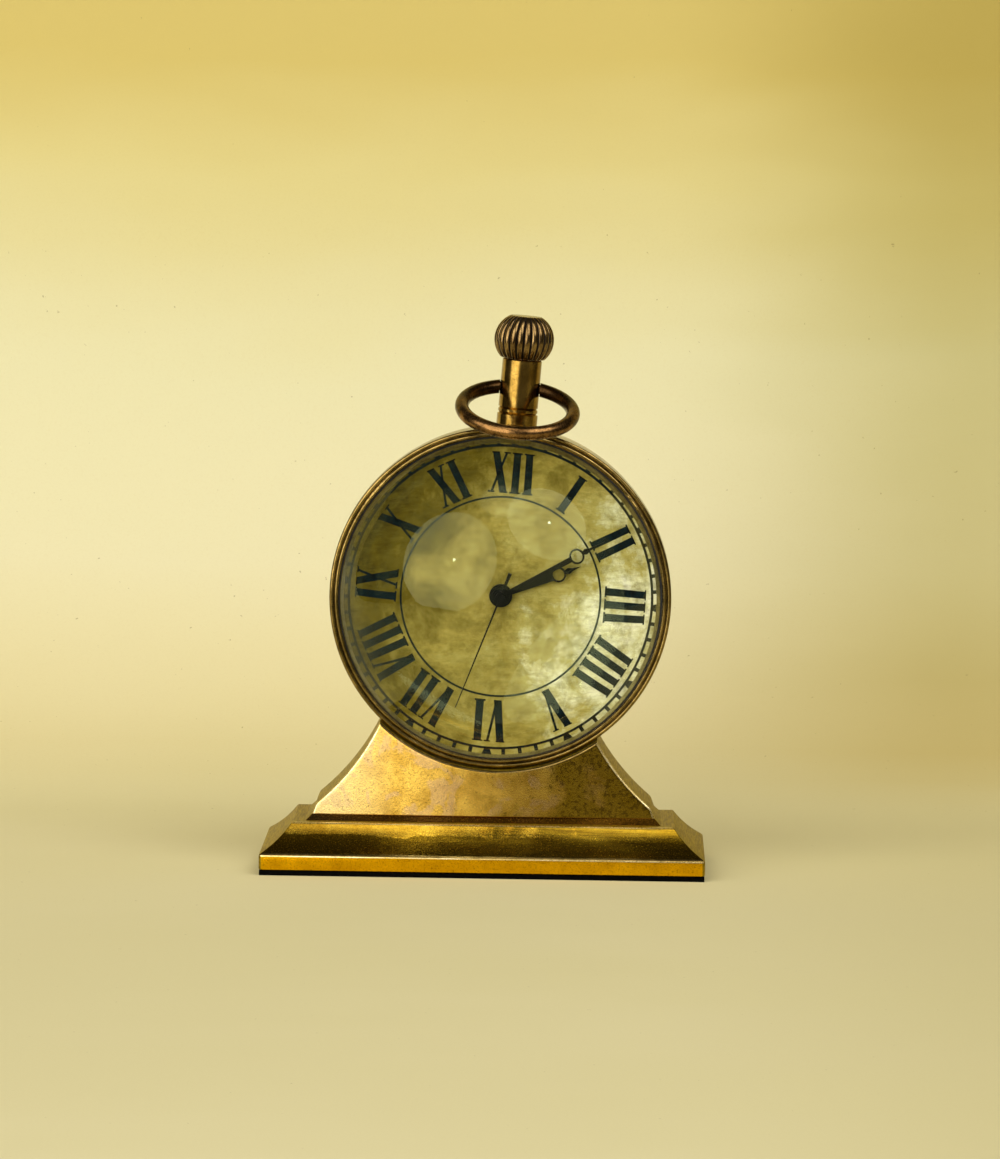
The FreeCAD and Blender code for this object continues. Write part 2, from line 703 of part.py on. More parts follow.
def make_crown():
    foot = s.neck_top + s.crown_gap
    belly = foot + s.crown_belly
    top = foot + s.crown_height
    bore_top = foot + s.crown_bore_depth
    lower = arc_radius(s.crown_radius - s.crown_foot, s.crown_belly)
    upper = arc_radius(s.crown_radius - s.crown_cap, s.crown_height - s.crown_belly)
    blank = turned("crown_blank", [
        (s.stem_thick, foot),
        (s.crown_foot, foot),
        (s.crown_radius, belly),
        (s.crown_cap, top),
        (ZERO, top),
        (ZERO, bore_top),
        (s.stem_thick, bore_top),
    ], {1: lower, 2: upper})
    widest = Vector(float(s.crown_radius + s.flute_shy), 0, float(belly))
    section = Part.Face(Part.Wire(Part.makeCircle(float(s.flute_radius), widest)))
    swept = []
    for arc, height, way in ((lower, s.crown_belly, 1), (upper, s.crown_height - s.crown_belly, -1)):
        middle = Vector(float(s.crown_radius - arc), 0, float(belly))
        turn = math.degrees(math.asin(float(height / arc))) + float(s.flute_run_out)
        swept.append(section.revolve(middle, Vector(0, way, 0), turn))
    flute = swept[0].fuse(swept[1])
    pitch = 360 / float(s.flute_count)
    flutes = []
    for number in range(round(float(s.flute_count))):
        flutes.append(flute.copy())
        flutes[-1].rotate(Vector(), Vector(0, 0, 1), number * pitch)
    flute_tool = solid("crown_flutes", Part.makeCompound(flutes))
    piece(cut("crown_fluted", blank, flute_tool), "crown", NECK)
    half_groove = s.stem_groove_width / 2
    piece(turned("stem", [
        (ZERO, s.stem_start),
        (s.stem_radius, s.stem_start),
        (s.stem_radius, s.stem_groove - half_groove),
        (s.stem_waist, s.stem_groove - half_groove),
        (s.stem_waist, s.stem_groove + half_groove),
        (s.stem_radius, s.stem_groove + half_groove),
        (s.stem_radius, s.stem_shoulder),
        (s.stem_thick, s.stem_shoulder),
        (s.stem_thick, bore_top),
        (ZERO, bore_top),
    ]), "winding_stem", NECK)


def make_bail():
    """A ring of wire, open where the neck stands, whose ends carry two pins."""
    wire = float(s.bail_wire)
    radius = float(s.bail_radius)
    reach = float(s.bail_reach)
    end = float(s.neck_radius + s.bail_gap)
    bow = Part.makeTorus(radius, wire, Vector(0, 0, reach), Vector(0, 1, 0))
    mouth = Part.makeBox(end * 2, wire * 4, radius, Vector(-end, -wire * 2, reach - radius - wire))
    bow = bow.cut(mouth)
    pin_length = end + float(s.pin_root - s.pin_reach)
    for side in (1, -1):
        pin = Part.makeCylinder(float(s.pin_radius), pin_length,
                                Vector(side * float(s.pin_reach), 0, 0), Vector(side, 0, 0))
        bow = bow.fuse(pin)
    droop = Rotation(Vector(1, 0, 0), float(s.bail_droop))
    pivot = Placement(Vector(0, float(s.pivot_height), float(s.neck_plane)), droop)
    piece(solid("bail_bow", bow), "bail", HEAD * pivot)


# ---------------------------------------------------------------- movement
ADDENDUM = 0.85
DEDENDUM = 1.1
# lightening holes of a wheel: how many, and their size and place as shares of its radius
CROSSINGS = 5
CROSSING_SIZE = 0.22
CROSSING_PLACE = 0.6
# half thickness of a tooth, as a share of the pitch, at its root, pitch line and tip
TOOTH = ((-DEDENDUM, 0.27), (0.0, 0.20), (ADDENDUM, 0.08))


def gear(teeth, module, phase, low, high, bore=0.0, holes=0):
    """A clock wheel or pinion around +Z, with one tooth centred at phase degrees."""
    pitch = 360.0 / teeth
    pitch_radius = module * teeth / 2
    points = []
    for number in range(teeth):
        middle = phase + number * pitch
        rising = [(height, -share) for height, share in TOOTH]
        falling = [(height, share) for height, share in reversed(TOOTH)]
        for height, share in rising + falling:
            angle = math.radians(middle + share * pitch)
            radius = pitch_radius + height * module
            points.append(Vector(radius * math.cos(angle), radius * math.sin(angle), low))
    outline = Part.Face(Part.makePolygon(points + points[:1]))
    wheel = outline.extrude(Vector(0, 0, high - low))
    tools = []
    if bore:
        tools.append(Part.makeCylinder(bore, high - low, Vector(0, 0, low)))
    hole_radius = pitch_radius * CROSSING_SIZE
    for number in range(holes):
        angle = 2 * math.pi * number / holes
        spot = Vector(math.cos(angle), math.sin(angle), 0) * (pitch_radius * CROSSING_PLACE)
        spot.z = low
        tools.append(Part.makeCylinder(hole_radius, high - low, spot))
    return wheel.cut(tools) if tools else wheel


def meshed(phase, teeth, other_teeth, direction):
    """Phase of the other gear, which lies in that direction, so that teeth meet gaps."""
    return direction + 180 + 180.0 / other_teeth - (phase - direction) * teeth / other_teeth


def tube(inner, outer, low, high):
    whole = Part.makeCylinder(outer, high - low, Vector(0, 0, low))
    return whole.cut(Part.makeCylinder(inner, high - low, Vector(0, 0, low)))


def post(radius, low, high):
    return Part.makeCylinder(radius, high - low, Vector(0, 0, low))


module = float(s.train_module)
plate_back = s.plate_front - s.plate_thickness
bridge_back = s.bridge_front - s.bridge_thickness
arbor = float(s.arbor_radius)
play = float(s.arbor_play)
wheel_step = float(s.wheel_thickness)
pinion_step = float(s.pinion_length)
pipe_bore = arbor + play
pipe_out = pipe_bore + float(s.pipe_wall)
cannon_bore = pipe_out + play
cannon_out = cannon_bore + float(s.cannon_wall)
hour_bore = cannon_out + play
hour_out = hour_bore + float(s.hour_wall)

TEETH = SimpleNamespace(
    cannon=12, minute=36, minute_pinion=10, hour=40, setting=18,
    seconds=40, seconds_pinion=8, third=60, third_pinion=8, centre=64,
    fifth=36, fifth_pinion=8, rotor=6, clutch=14,
)
motion_distance = module * (TEETH.cannon + TEETH.minute) / 2
hour_module = 2 * motion_distance / (TEETH.minute_pinion + TEETH.hour)
setting_distance = motion_distance + module * (TEETH.minute + TEETH.setting) / 2
third_distance = module * (TEETH.seconds_pinion + TEETH.third) / 2
centre_module = 2 * third_distance / (TEETH.third_pinion + TEETH.centre)
fifth_module = float(s.fifth_module)
fifth_distance = fifth_module * (TEETH.fifth_pinion + TEETH.seconds) / 2
rotor_distance = module * (TEETH.rotor + TEETH.fifth) / 2
FIFTH_WAY = 200.0
THIRD_WAY = -90.0
UP = 90.0


def polar(distance, degrees):
    angle = math.radians(degrees)
    return Vector(distance * math.cos(angle), distance * math.sin(angle), 0)


minute_spot = polar(motion_distance, UP)
setting_spot = polar(setting_distance, UP)
third_spot = polar(third_distance, THIRD_WAY)
fifth_spot = polar(fifth_distance, FIFTH_WAY)
rotor_spot = polar(fifth_distance + rotor_distance, FIFTH_WAY)
PILLARS = (Vector(8.0, -2.0, 0), Vector(-9.0, 3.0, 0), Vector(4.5, -14.0, 0))
PILLAR_RADIUS = 0.9
BRIDGE_CORNERS = ((-11.3, 4.5), (-11.3, -4.9), (-7.6, -6.9), (3.0, -15.8), (6.3, -15.8),
                  (9.8, -3.0), (9.8, -0.4), (-7.5, 4.5))
BRIDGE_SCREW = 0.5
BRIDGE_SCREW_BITE = 2.0
BRIDGE_SCREW_HEAD = 1.0
BRIDGE_SCREW_RISE = 0.5
BRIDGE_SCREW_SLOT = 0.3
MINUTE_POST = 0.4
SETTING_POST = 0.5
BOARD_POST = 0.8
BOARD_POSTS = (Vector(12.5, -8.0, 0), Vector(12.5, 8.0, 0))
CRYSTAL_START = Vector(12.7, -6.5, 0)
CHIP_SPOT = Vector(12.7, 4.0, 0)
BATTERY_SPOT = Vector(-10.5, -10.5, 0)
CLAMP_WIDTH = 2.4
CLAMP_FOOT = 0.7
CLUTCH_RADIUS = 1.5
LEVER_WIDTH = 0.4
LEVER_DROP = 1.5
LUG_SPREAD = 1.7
LUG_WIDTH = 0.6
LUG_HEIGHT = 0.5
CORE_MIDDLE = -13.6
CORE_WIDTH = 1.6
CORE_END = 1.0
STATOR_INNER = -7.9
COIL_START = 0.0
# running gap between pieces of the movement
GAP = 0.1
PIVOT_IN_PLATE = 0.4
PIVOT_IN_BRIDGE = 0.15
pivot_in_plate = float(s.plate_front) - PIVOT_IN_PLATE
pivot_in_bridge = float(bridge_back) + PIVOT_IN_BRIDGE


def spot_frame(spot):
    return beside(HEAD, spot.x, spot.y)


def make_motion_work():
    """In front of the plate: cannon pinion, minute wheel, hour wheel, setting wheel."""
    low = float(s.cannon_level)
    cannon = gear(TEETH.cannon, module, 0, low, low + pinion_step, cannon_bore)
    tube_top = float(s.minute_hand_level + s.hand_thickness) + GAP
    cannon = cannon.fuse(tube(cannon_bore, cannon_out, low, tube_top))
    piece(solid("cannon", cannon), "cannon_pinion", HEAD)

    wheel_phase = meshed(0, TEETH.cannon, TEETH.minute, UP)
    minute_wheel_low = low + (pinion_step - wheel_step) / 2
    bore = MINUTE_POST + play
    wheel = gear(TEETH.minute, module, wheel_phase, minute_wheel_low,
                 minute_wheel_low + wheel_step, bore)
    hour_low = float(s.hour_level)
    hour_high = hour_low + wheel_step
    pinion = gear(TEETH.minute_pinion, hour_module, 0, minute_wheel_low + wheel_step,
                  hour_high + GAP, bore)
    piece(solid("minute_gear", wheel.fuse(pinion)), "minute_wheel", spot_frame(minute_spot))

    hour_phase = meshed(0, TEETH.minute_pinion, TEETH.hour, -UP)
    hour = gear(TEETH.hour, hour_module, hour_phase, hour_low, hour_high, hour_bore)
    hour_top = float(s.hour_hand_level + s.hand_thickness) + GAP
    hour = hour.fuse(tube(hour_bore, hour_out, hour_low, hour_top))
    piece(solid("hour_gear", hour), "hour_wheel", HEAD)

    setting_phase = meshed(wheel_phase, TEETH.minute, TEETH.setting, UP)
    setting = gear(TEETH.setting, module, setting_phase, float(s.plate_front) + GAP * 2,
                   minute_wheel_low + wheel_step, SETTING_POST + play)
    piece(solid("setting_gear", setting), "setting_wheel", spot_frame(setting_spot))


def make_going_train():
    """Behind the plate, from the rotor to the centre wheel."""
    seconds_low = float(s.seconds_level)
    third_low = float(s.third_level)
    centre_low = float(s.centre_level)
    fifth_low = float(s.fifth_level)
    inset = (pinion_step - wheel_step) / 2

    second_arbor_tip = float(s.second_hand_level + s.hand_thickness + s.second_grip)
    seconds = gear(TEETH.seconds, fifth_module, 0, seconds_low, seconds_low + wheel_step, holes=CROSSINGS)
    seconds = seconds.fuse([
        gear(TEETH.seconds_pinion, module, 0, third_low - inset, third_low - inset + pinion_step),
        post(arbor, pivot_in_bridge, second_arbor_tip),
    ])
    piece(solid("seconds_gear", seconds), "seconds_wheel", HEAD)

    third_phase = meshed(0, TEETH.seconds_pinion, TEETH.third, THIRD_WAY)
    third = gear(TEETH.third, module, third_phase, third_low, third_low + wheel_step, holes=CROSSINGS)
    third = third.fuse([
        gear(TEETH.third_pinion, centre_module, 0, third_low + wheel_step,
             centre_low + wheel_step + inset),
        post(arbor, pivot_in_bridge, pivot_in_plate),
    ])
    piece(solid("third_gear", third), "third_wheel", spot_frame(third_spot))

    centre_phase = meshed(0, TEETH.third_pinion, TEETH.centre, -THIRD_WAY)
    centre = gear(TEETH.centre, centre_module, centre_phase, centre_low,
                  centre_low + wheel_step, pipe_bore, holes=CROSSINGS)
    centre = centre.fuse(tube(pipe_bore, pipe_out, centre_low, float(s.minute_hand_level)))
    piece(solid("centre_gear", centre), "centre_wheel", HEAD)

    fifth_pinion_phase = meshed(0, TEETH.seconds, TEETH.fifth_pinion, FIFTH_WAY)
    fifth = gear(TEETH.fifth, module, 0, fifth_low, fifth_low + wheel_step, holes=CROSSINGS)
    fifth = fifth.fuse([
        gear(TEETH.fifth_pinion, fifth_module, fifth_pinion_phase, seconds_low - inset,
             seconds_low - inset + pinion_step),
        post(arbor, pivot_in_bridge, pivot_in_plate),
    ])
    piece(solid("fifth_gear", fifth), "fifth_wheel", spot_frame(fifth_spot))

    rotor_phase = meshed(0, TEETH.fifth, TEETH.rotor, FIFTH_WAY)
    magnet_high = float(s.seconds_level) + wheel_step
    rotor = gear(TEETH.rotor, module, rotor_phase, fifth_low - inset,
                 fifth_low - inset + pinion_step)
    rotor = rotor.fuse([
        post(float(s.rotor_radius), magnet_high - float(s.rotor_length), magnet_high),
        post(arbor, pivot_in_bridge, pivot_in_plate),
    ])
    piece(solid("rotor_magnet", rotor), "stepper_rotor", spot_frame(rotor_spot))


def make_plate():
    """Main plate with its posts, pillars, pivots, stem tunnel and lever slots."""
    front = float(s.plate_front)
    back = float(plate_back)
    plate = Part.makeCylinder(float(s.movement_radius), front - back, Vector(0, 0, back))
    grown = []
    for spot in PILLARS:
        grown.append(post(PILLAR_RADIUS, float(s.bridge_front), back).translated(spot))
    post_top = float(s.hour_level) + wheel_step + GAP
    grown.append(post(MINUTE_POST, front, post_top).translated(minute_spot))
    setting_top = float(s.cannon_level) + (pinion_step + wheel_step) / 2
    grown.append(post(SETTING_POST, front, setting_top + GAP * 2).translated(setting_spot))
    for spot in BOARD_POSTS:
        grown.append(post(BOARD_POST, back - float(s.circuit_gap), back).translated(spot))
    plate = plate.fuse(grown)
    holes = [post(pipe_out + play, back, front)]
    for spot in (third_spot, fifth_spot, rotor_spot):
        holes.append(post(arbor + play, back, pivot_in_plate + GAP).translated(spot))
    for spot in PILLARS:
        low = float(s.bridge_front)
        holes.append(post(BRIDGE_SCREW, low, low + BRIDGE_SCREW_BITE).translated(spot))
    stem_axis = float(s.neck_plane)
    stem_gap = float(s.stem_radius + s.stem_play)
    clutch_gap = CLUTCH_RADIUS + GAP * 2
    clutch_low = float(s.clutch_start) - GAP * 2
    clutch_high = float(s.clutch_start + s.clutch_width + s.crown_travel) + GAP * 2
    edge = float(s.movement_radius) + 1
    holes.append(Part.makeCylinder(stem_gap, edge, Vector(0, clutch_low, stem_axis), Vector(0, 1, 0)))
    holes.append(Part.makeBox(clutch_gap * 2, clutch_high - clutch_low, front - back,
                              Vector(-clutch_gap, clutch_low, back)))
    for side in (-1, 1):
        slot_low = float(s.stem_groove) - LEVER_WIDTH / 2 - GAP
        slot_length = LEVER_WIDTH + float(s.crown_travel) + GAP * 2
        middle = side * LUG_SPREAD
        holes.append(Part.makeBox(LUG_WIDTH + GAP, slot_length, LUG_HEIGHT + GAP,
                                  Vector(middle - (LUG_WIDTH + GAP) / 2, slot_low, back)))
    piece(solid("plate", plate.cut(holes)), "main_plate", HEAD)


def make_keyless_work():
    """Setting pinion on the stem, and the lever that the stem's groove carries."""
    clutch_module = 2 * CLUTCH_RADIUS / (TEETH.clutch + 2 * ADDENDUM)
    clutch = gear(TEETH.clutch, clutch_module, 0, float(s.clutch_start),
                  float(s.clutch_start + s.clutch_width), float(s.stem_radius))
    piece(solid("clutch", clutch), "setting_pinion", NECK)
    middle = float(s.stem_groove)
    axis = float(s.neck_plane)
    lever_top = float(plate_back) - GAP / 2
    lever_low = axis - LEVER_DROP
    half = LUG_SPREAD + LUG_WIDTH / 2
    shape = Part.makeBox(half * 2, LEVER_WIDTH, lever_top - lever_low,
                         Vector(-half, middle - LEVER_WIDTH / 2, lever_low))
    for side in (-1, 1):
        lug = Part.makeBox(LUG_WIDTH, LEVER_WIDTH, LUG_HEIGHT + GAP / 2,
                           Vector(side * LUG_SPREAD - LUG_WIDTH / 2, middle - LEVER_WIDTH / 2,
                                  lever_top))
        shape = shape.fuse(lug)
    slot = float(s.stem_waist + s.stem_play)
    shape = shape.cut([
        Part.makeCylinder(slot, LEVER_WIDTH, Vector(0, middle - LEVER_WIDTH / 2, axis),
                          Vector(0, 1, 0)),
        Part.makeBox(slot * 2, LEVER_WIDTH, lever_top - axis,
                     Vector(-slot, middle - LEVER_WIDTH / 2, axis)),
    ])
    piece(solid("lever", shape.removeSplitter()), "setting_lever", HEAD)


def make_bridge():
    """The bridge over the train's rear pivots, and its three screws."""
    low = float(bridge_back)
    high = float(s.bridge_front)
    points = [Vector(x, y, low) for x, y in BRIDGE_CORNERS]
    shape = Part.Face(Part.makePolygon(points + points[:1])).extrude(Vector(0, 0, high - low))
    holes = [post(BRIDGE_SCREW, low, high).translated(spot) for spot in PILLARS]
    for spot in (Vector(), third_spot, fifth_spot, rotor_spot):
        holes.append(post(arbor + play, pivot_in_bridge - GAP / 2, high).translated(spot))
    piece(solid("bridge", shape.cut(holes)), "train_bridge", HEAD)
    top = low - BRIDGE_SCREW_RISE
    head = post(BRIDGE_SCREW_HEAD, top, low)
    slot = Part.makeBox(BRIDGE_SCREW_HEAD * 2, BRIDGE_SCREW_SLOT, BRIDGE_SCREW_RISE / 2,
                        Vector(-BRIDGE_SCREW_HEAD, -BRIDGE_SCREW_SLOT / 2, top))
    screw = head.cut(slot).fuse(post(BRIDGE_SCREW, low, high + BRIDGE_SCREW_BITE))
    screws = Part.makeCompound([screw.translated(spot) for spot in PILLARS])
    piece(solid("bridge_screw_set", screws), "bridge_screws", HEAD)


def make_motor():
    """Stator, core and coil of the stepping motor."""
    stator_top = float(s.seconds_level)
    stator_low = stator_top - float(s.stator_thickness)
    outer = CORE_MIDDLE - CORE_WIDTH / 2
    arm = float(s.stator_arm)
    stator = Part.makeBox(STATOR_INNER - outer, arm * 2, stator_top - stator_low,
                          Vector(outer, rotor_spot.y - arm, stator_low))
    eye = post(float(s.rotor_radius + s.rotor_gap), stator_low, stator_top).translated(rotor_spot)
    piece(solid("stator_plate", stator.cut(eye)), "stator", HEAD)
    core_top = stator_top + float(s.core_thickness)
    core_end = COIL_START + float(s.coil_length) + CORE_END
    core_low = rotor_spot.y - arm
    core = Part.makeBox(CORE_WIDTH, core_end - core_low, core_top - stator_top,
                        Vector(outer, core_low, stator_top))
    piece(solid("core_bar", core), "coil_core", HEAD)
    middle = (stator_top + core_top) / 2
    coil = Part.makeCylinder(float(s.coil_radius), float(s.coil_length),
                             Vector(CORE_MIDDLE, COIL_START, middle), Vector(0, 1, 0))
    piece(solid("winding", coil.cut(core)), "coil", HEAD)


def make_circuit():
    """Circuit board with crystal and chip, and the cell under its clamp."""
    back = float(plate_back)
    board_high = back - float(s.circuit_gap)
    board_low = board_high - float(s.circuit_thickness)
    width = float(s.circuit_width)
    length = float(s.circuit_length)
    board = Part.makeBox(width, length, board_high - board_low,
                         Vector(float(s.circuit_edge), -length / 2, board_low))
    piece(solid("board_sheet", board), "circuit_board", HEAD)
    radius = float(s.crystal_radius)
    can_start = CRYSTAL_START + Vector(0, 0, board_low - radius)
    can = Part.makeCylinder(radius, float(s.crystal_length), can_start, Vector(0, 1, 0))
    piece(solid("crystal_can", can), "quartz_crystal", HEAD)
    drop = float(s.chip_drop)
    rise = float(s.chip_rise)
    chip = Part.makeSphere(drop, CHIP_SPOT + Vector(0, 0, board_low - rise + drop))
    chip = chip.common(Part.makeBox(drop * 2, drop * 2, rise,
                                    CHIP_SPOT + Vector(-drop, -drop, board_low - rise)))
    piece(solid("chip_blob", chip), "clock_chip", HEAD)

    cell_low = back - float(s.battery_height)
    piece(disc("cell", s.battery_radius, plate_back - s.battery_height, plate_back),
          "button_cell", spot_frame(BATTERY_SPOT))
    clamp_low = cell_low - float(s.clamp_thickness)
    reach = float(s.battery_radius) + GAP * 2
    side = -CLAMP_WIDTH / 2
    strip = Part.makeBox(CLAMP_WIDTH, (reach + CLAMP_FOOT) * 2, cell_low - clamp_low,
                         Vector(side, -reach - CLAMP_FOOT, clamp_low))
    for start in (-reach - CLAMP_FOOT, reach):
        strip = strip.fuse(Part.makeBox(CLAMP_WIDTH, CLAMP_FOOT, back - clamp_low,
                                        Vector(side, start, clamp_low)))
    piece(solid("clamp_strip", strip.removeSplitter()), "battery_clamp",
          spot_frame(BATTERY_SPOT))


def make_holder():
    """Moulded ring that carries the movement and the dial inside the band."""
    blank = ring("holder_blank", s.movement_radius + s.fit_gap, band_bore - s.holder_gap,
                 s.holder_back, s.dial_back)
    tunnel = rod("holder_tunnel", s.stem_radius + s.stem_play * 4, ZERO, band_bore,
                 (ZERO, ZERO, s.neck_plane), "y")
    piece(cut("holder", blank, tunnel), "movement_holder", HEAD)


# ---------------------------------------------------------------- hands
def flat_shape(points, low, high):
    corners = [Vector(x, y, low) for x, y in points]
    return Part.Face(Part.makePolygon(corners + corners[:1])).extrude(Vector(0, 0, high - low))


def blade(stations, low, high):
    """A symmetric blade along +Y from (distance, half width) stations."""
    right = [(half, distance) for distance, half in stations]
    left = [(-half, distance) for distance, half in reversed(stations) if half > 0]
    return flat_shape(right + left, low, high)


def pierced_hand(kind, hub_bore, low):
    """A hand with a pierced eye before its tip; kind is the start of its sizes' names."""
    def size(part):
        return float(getattr(s, kind + part))

    high = low + float(s.hand_thickness)
    rim = float(s.eye_rim)
    flare = float(s.tip_flare)
    eye_near = size("_eye_at") - size("_eye")
    eye_far = size("_eye_at") + size("_eye")
    length = size("_hand_length")
    bar = blade([(hub_bore, size("_waist")), (eye_near + rim, size("_shoulder"))], low, high)
    tip = blade([(eye_far - rim * 0.8, flare * 0.4), (eye_far + flare, flare),
                 (eye_far + flare * 2.5, flare * 0.45), (length, 0.0)], low, high)
    eye = post(size("_eye") - rim, low, high).translated(Vector(0, size("_eye_at"), 0))
    rim_disc = post(size("_eye"), low, high).translated(Vector(0, size("_eye_at"), 0))
    shape = post(size("_hub"), low, high).fuse([bar, tip, rim_disc])
    return shape.cut([post(hub_bore, low, high), eye]).removeSplitter()


def clockwise(degrees):
    return Placement(Vector(), Rotation(Vector(0, 0, 1), -float(degrees)))


def make_hands():
    hour = pierced_hand("hour", hour_out, float(s.hour_hand_level))
    piece(solid("hour_blade", hour), "hour_hand", HEAD * clockwise(s.hour_turn))
    minute = pierced_hand("minute", cannon_out, float(s.minute_hand_level))
    piece(solid("minute_blade", minute), "minute_hand", HEAD * clockwise(s.minute_turn))
    low = float(s.second_hand_level)
    high = low + float(s.hand_thickness)
    slim = float(s.second_pointer)
    pointer = blade([(0, slim), (float(s.second_hand_length), slim / 2)], low, high)
    counter = blade([(-float(s.second_hand_tail), float(s.second_tail)), (0, slim)], low, high)
    hub = post(float(s.second_hub), low, high + float(s.second_cap))
    second = hub.fuse([pointer, counter])
    second = second.cut(post(arbor, low, high + float(s.second_grip))).removeSplitter()
    piece(solid("second_blade", second), "second_hand", HEAD * clockwise(s.second_turn))


# ---------------------------------------------------------------- build and write
make_base()
make_base_closure()
make_fixing()
make_band()
make_bezel()
make_lens()
make_back_cover()
make_neck()
make_crown()
make_bail()
make_plate()
make_keyless_work()
make_motion_work()
make_going_train()
make_bridge()
make_motor()
make_circuit()
make_holder()
make_hands()
doc.recompute()

faults = []
for item in doc.Objects:
    if any(word in ("Invalid", "Error") for word in item.State):
        faults.append("%s: %s" % (item.Name, ", ".join(item.State)))
for item in pieces:
    if item.Shape.isNull() or not item.Shape.isValid():
        faults.append("%s has no valid shape" % item.Label)
if faults:
    raise RuntimeError("; ".join(faults))

os.makedirs("parts", exist_ok=True)
for item in pieces:
    item.Shape.exportStep("parts/%s.step" % item.Label)
    print("%-18s %9.2f mm3 in %d" % (item.Label, item.Shape.Volume, len(item.Shape.Solids)))
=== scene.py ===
"""Looks of a small brass desk clock: aged brass, a thick domed lens, a parchment dial.

Lengths are in millimetres, except where a comment says metres.
"""

import math

import bmesh
import bpy
from mathutils import Matrix, Vector


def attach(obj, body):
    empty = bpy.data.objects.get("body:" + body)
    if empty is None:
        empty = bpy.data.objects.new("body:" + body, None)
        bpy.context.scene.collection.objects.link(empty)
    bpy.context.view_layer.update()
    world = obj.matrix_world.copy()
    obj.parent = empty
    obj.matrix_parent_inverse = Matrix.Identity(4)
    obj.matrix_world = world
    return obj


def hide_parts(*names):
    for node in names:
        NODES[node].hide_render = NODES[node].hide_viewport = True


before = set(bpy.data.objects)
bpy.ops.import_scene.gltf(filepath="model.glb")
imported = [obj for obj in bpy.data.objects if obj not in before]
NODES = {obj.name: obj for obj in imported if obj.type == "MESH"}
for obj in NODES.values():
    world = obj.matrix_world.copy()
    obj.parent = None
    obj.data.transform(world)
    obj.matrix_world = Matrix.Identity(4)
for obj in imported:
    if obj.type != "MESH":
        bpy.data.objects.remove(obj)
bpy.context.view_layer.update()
MM = 0.001

# ---------------------------------------------------------------- the case's own frame
# Local +Z is the case axis towards the viewer, +Y runs up through the neck.
CASE_ROLL = math.radians(4.4)
CASE_X = 2.5
CASE_Z = 49.4
CASE_CENTRE = Vector((CASE_X, 0.0, CASE_Z)) * MM
NECK_PLANE = -3.5

HEAD = (Matrix.Translation(CASE_CENTRE)
        @ Matrix.Rotation(CASE_ROLL, 4, "Y")
        @ Matrix.Rotation(math.radians(90), 4, "X"))
NECK = (HEAD @ Matrix.Translation(Vector((0, 0, NECK_PLANE)) * MM)
        @ Matrix.Rotation(math.radians(-90), 4, "X"))


# ---------------------------------------------------------------- sizes of the base and dial
HALF_X = 40.0
HALF_Y = 18.0
# heights, from the table up
FELT_TOP = 0.9
PLINTH_TOP = 3.6
COVE_FOOT = 3.95
COVE_TOP = 8.95
STEP_TOP = 10.15
FLARE_TOP = 11.95
# how far each level steps in from the one below it
BEVEL = 0.35
COVE_INSET = 5.3
LEDGE = 2.3
STEP = 1.2
FLARE = 0.65
FOOT_INSET = BEVEL + COVE_INSET + LEDGE + STEP
COVE_RADIUS = 18.0
PLINTH_CORNER = 0.7
MITRE_CORNER = 0.15
DIAL_RADIUS = 25.0


# ---------------------------------------------------------------- node helpers
# sockets of Blender's Mix node for a share, two colours and the result
MIX_SHARE, MIX_FIRST, MIX_SECOND, MIX_RESULT = 0, 6, 7, 2


def linear(value):
    """One channel of an sRGB colour as linear light, both from 0 to 1."""
    return value / 12.92 if value <= 0.04045 else ((value + 0.055) / 1.055) ** 2.4


def colour(code):
    """An sRGB hex code as the linear colour that Blender wants."""
    parts = [int(code[i:i + 2], 16) / 255 for i in (1, 3, 5)]
    return tuple(linear(part) for part in parts) + (1.0,)


def add(tree, kind, inputs=None, **settings):
    """Add a node with its settings; an input is a number, a colour or another node's output."""
    node = tree.nodes.new(kind)
    for name, value in settings.items():
        setattr(node, name, value)
    for key, value in (inputs or {}).items():
        if isinstance(value, bpy.types.NodeSocket):
            tree.links.new(value, node.inputs[key])
        else:
            node.inputs[key].default_value = value
    return node


def axes(tree, vector):
    """The x, y and z of a vector, each as an output."""
    return add(tree, "ShaderNodeSeparateXYZ", {0: vector}).outputs


def new_material(name):
    """An empty material, its tree and the object's own coordinates."""
    material = bpy.data.materials.new(name)
    material.use_nodes = True
    tree = material.node_tree
    tree.nodes.clear()
    place = add(tree, "ShaderNodeTexCoord").outputs["Object"]
    return material, tree, place


def finish_material(tree, shader):
    """Join a shader to the material's output."""
    tree.links.new(shader.outputs[0], add(tree, "ShaderNodeOutputMaterial").inputs["Surface"])


def principled(material, tree, inputs):
    """Finish a material with one Principled shader, and hand the material back."""
    finish_material(tree, add(tree, "ShaderNodeBsdfPrincipled", inputs))
    return material


def ramp(tree, source, *stops, smooth=False):
    """A colour ramp through (position, colour) stops."""
    node = add(tree, "ShaderNodeValToRGB", {0: source})
    band = node.color_ramp
    band.interpolation = "EASE" if smooth else "LINEAR"
    while len(band.elements) < len(stops):
        band.elements.new(0.5)
    for element, (position, shade) in zip(band.elements, stops):
        element.position = position
        element.color = colour(shade) if isinstance(shade, str) else (shade,) * 3 + (1.0,)
    return node.outputs[0]


def noise(tree, place, size_mm, detail=3.0, rough=0.55, stretch=None, distort=0.0):
    """Cloudy noise whose patches are about size_mm across, from 0 to 1."""
    source = place
    if stretch:
        source = add(tree, "ShaderNodeMapping", {"Vector": place, "Scale": stretch}).outputs[0]
    node = add(tree, "ShaderNodeTexNoise", {
        "Vector": source, "Scale": 1.0 / (size_mm * MM), "Detail": detail,
        "Roughness": rough, "Distortion": distort})
    return node.outputs[0]


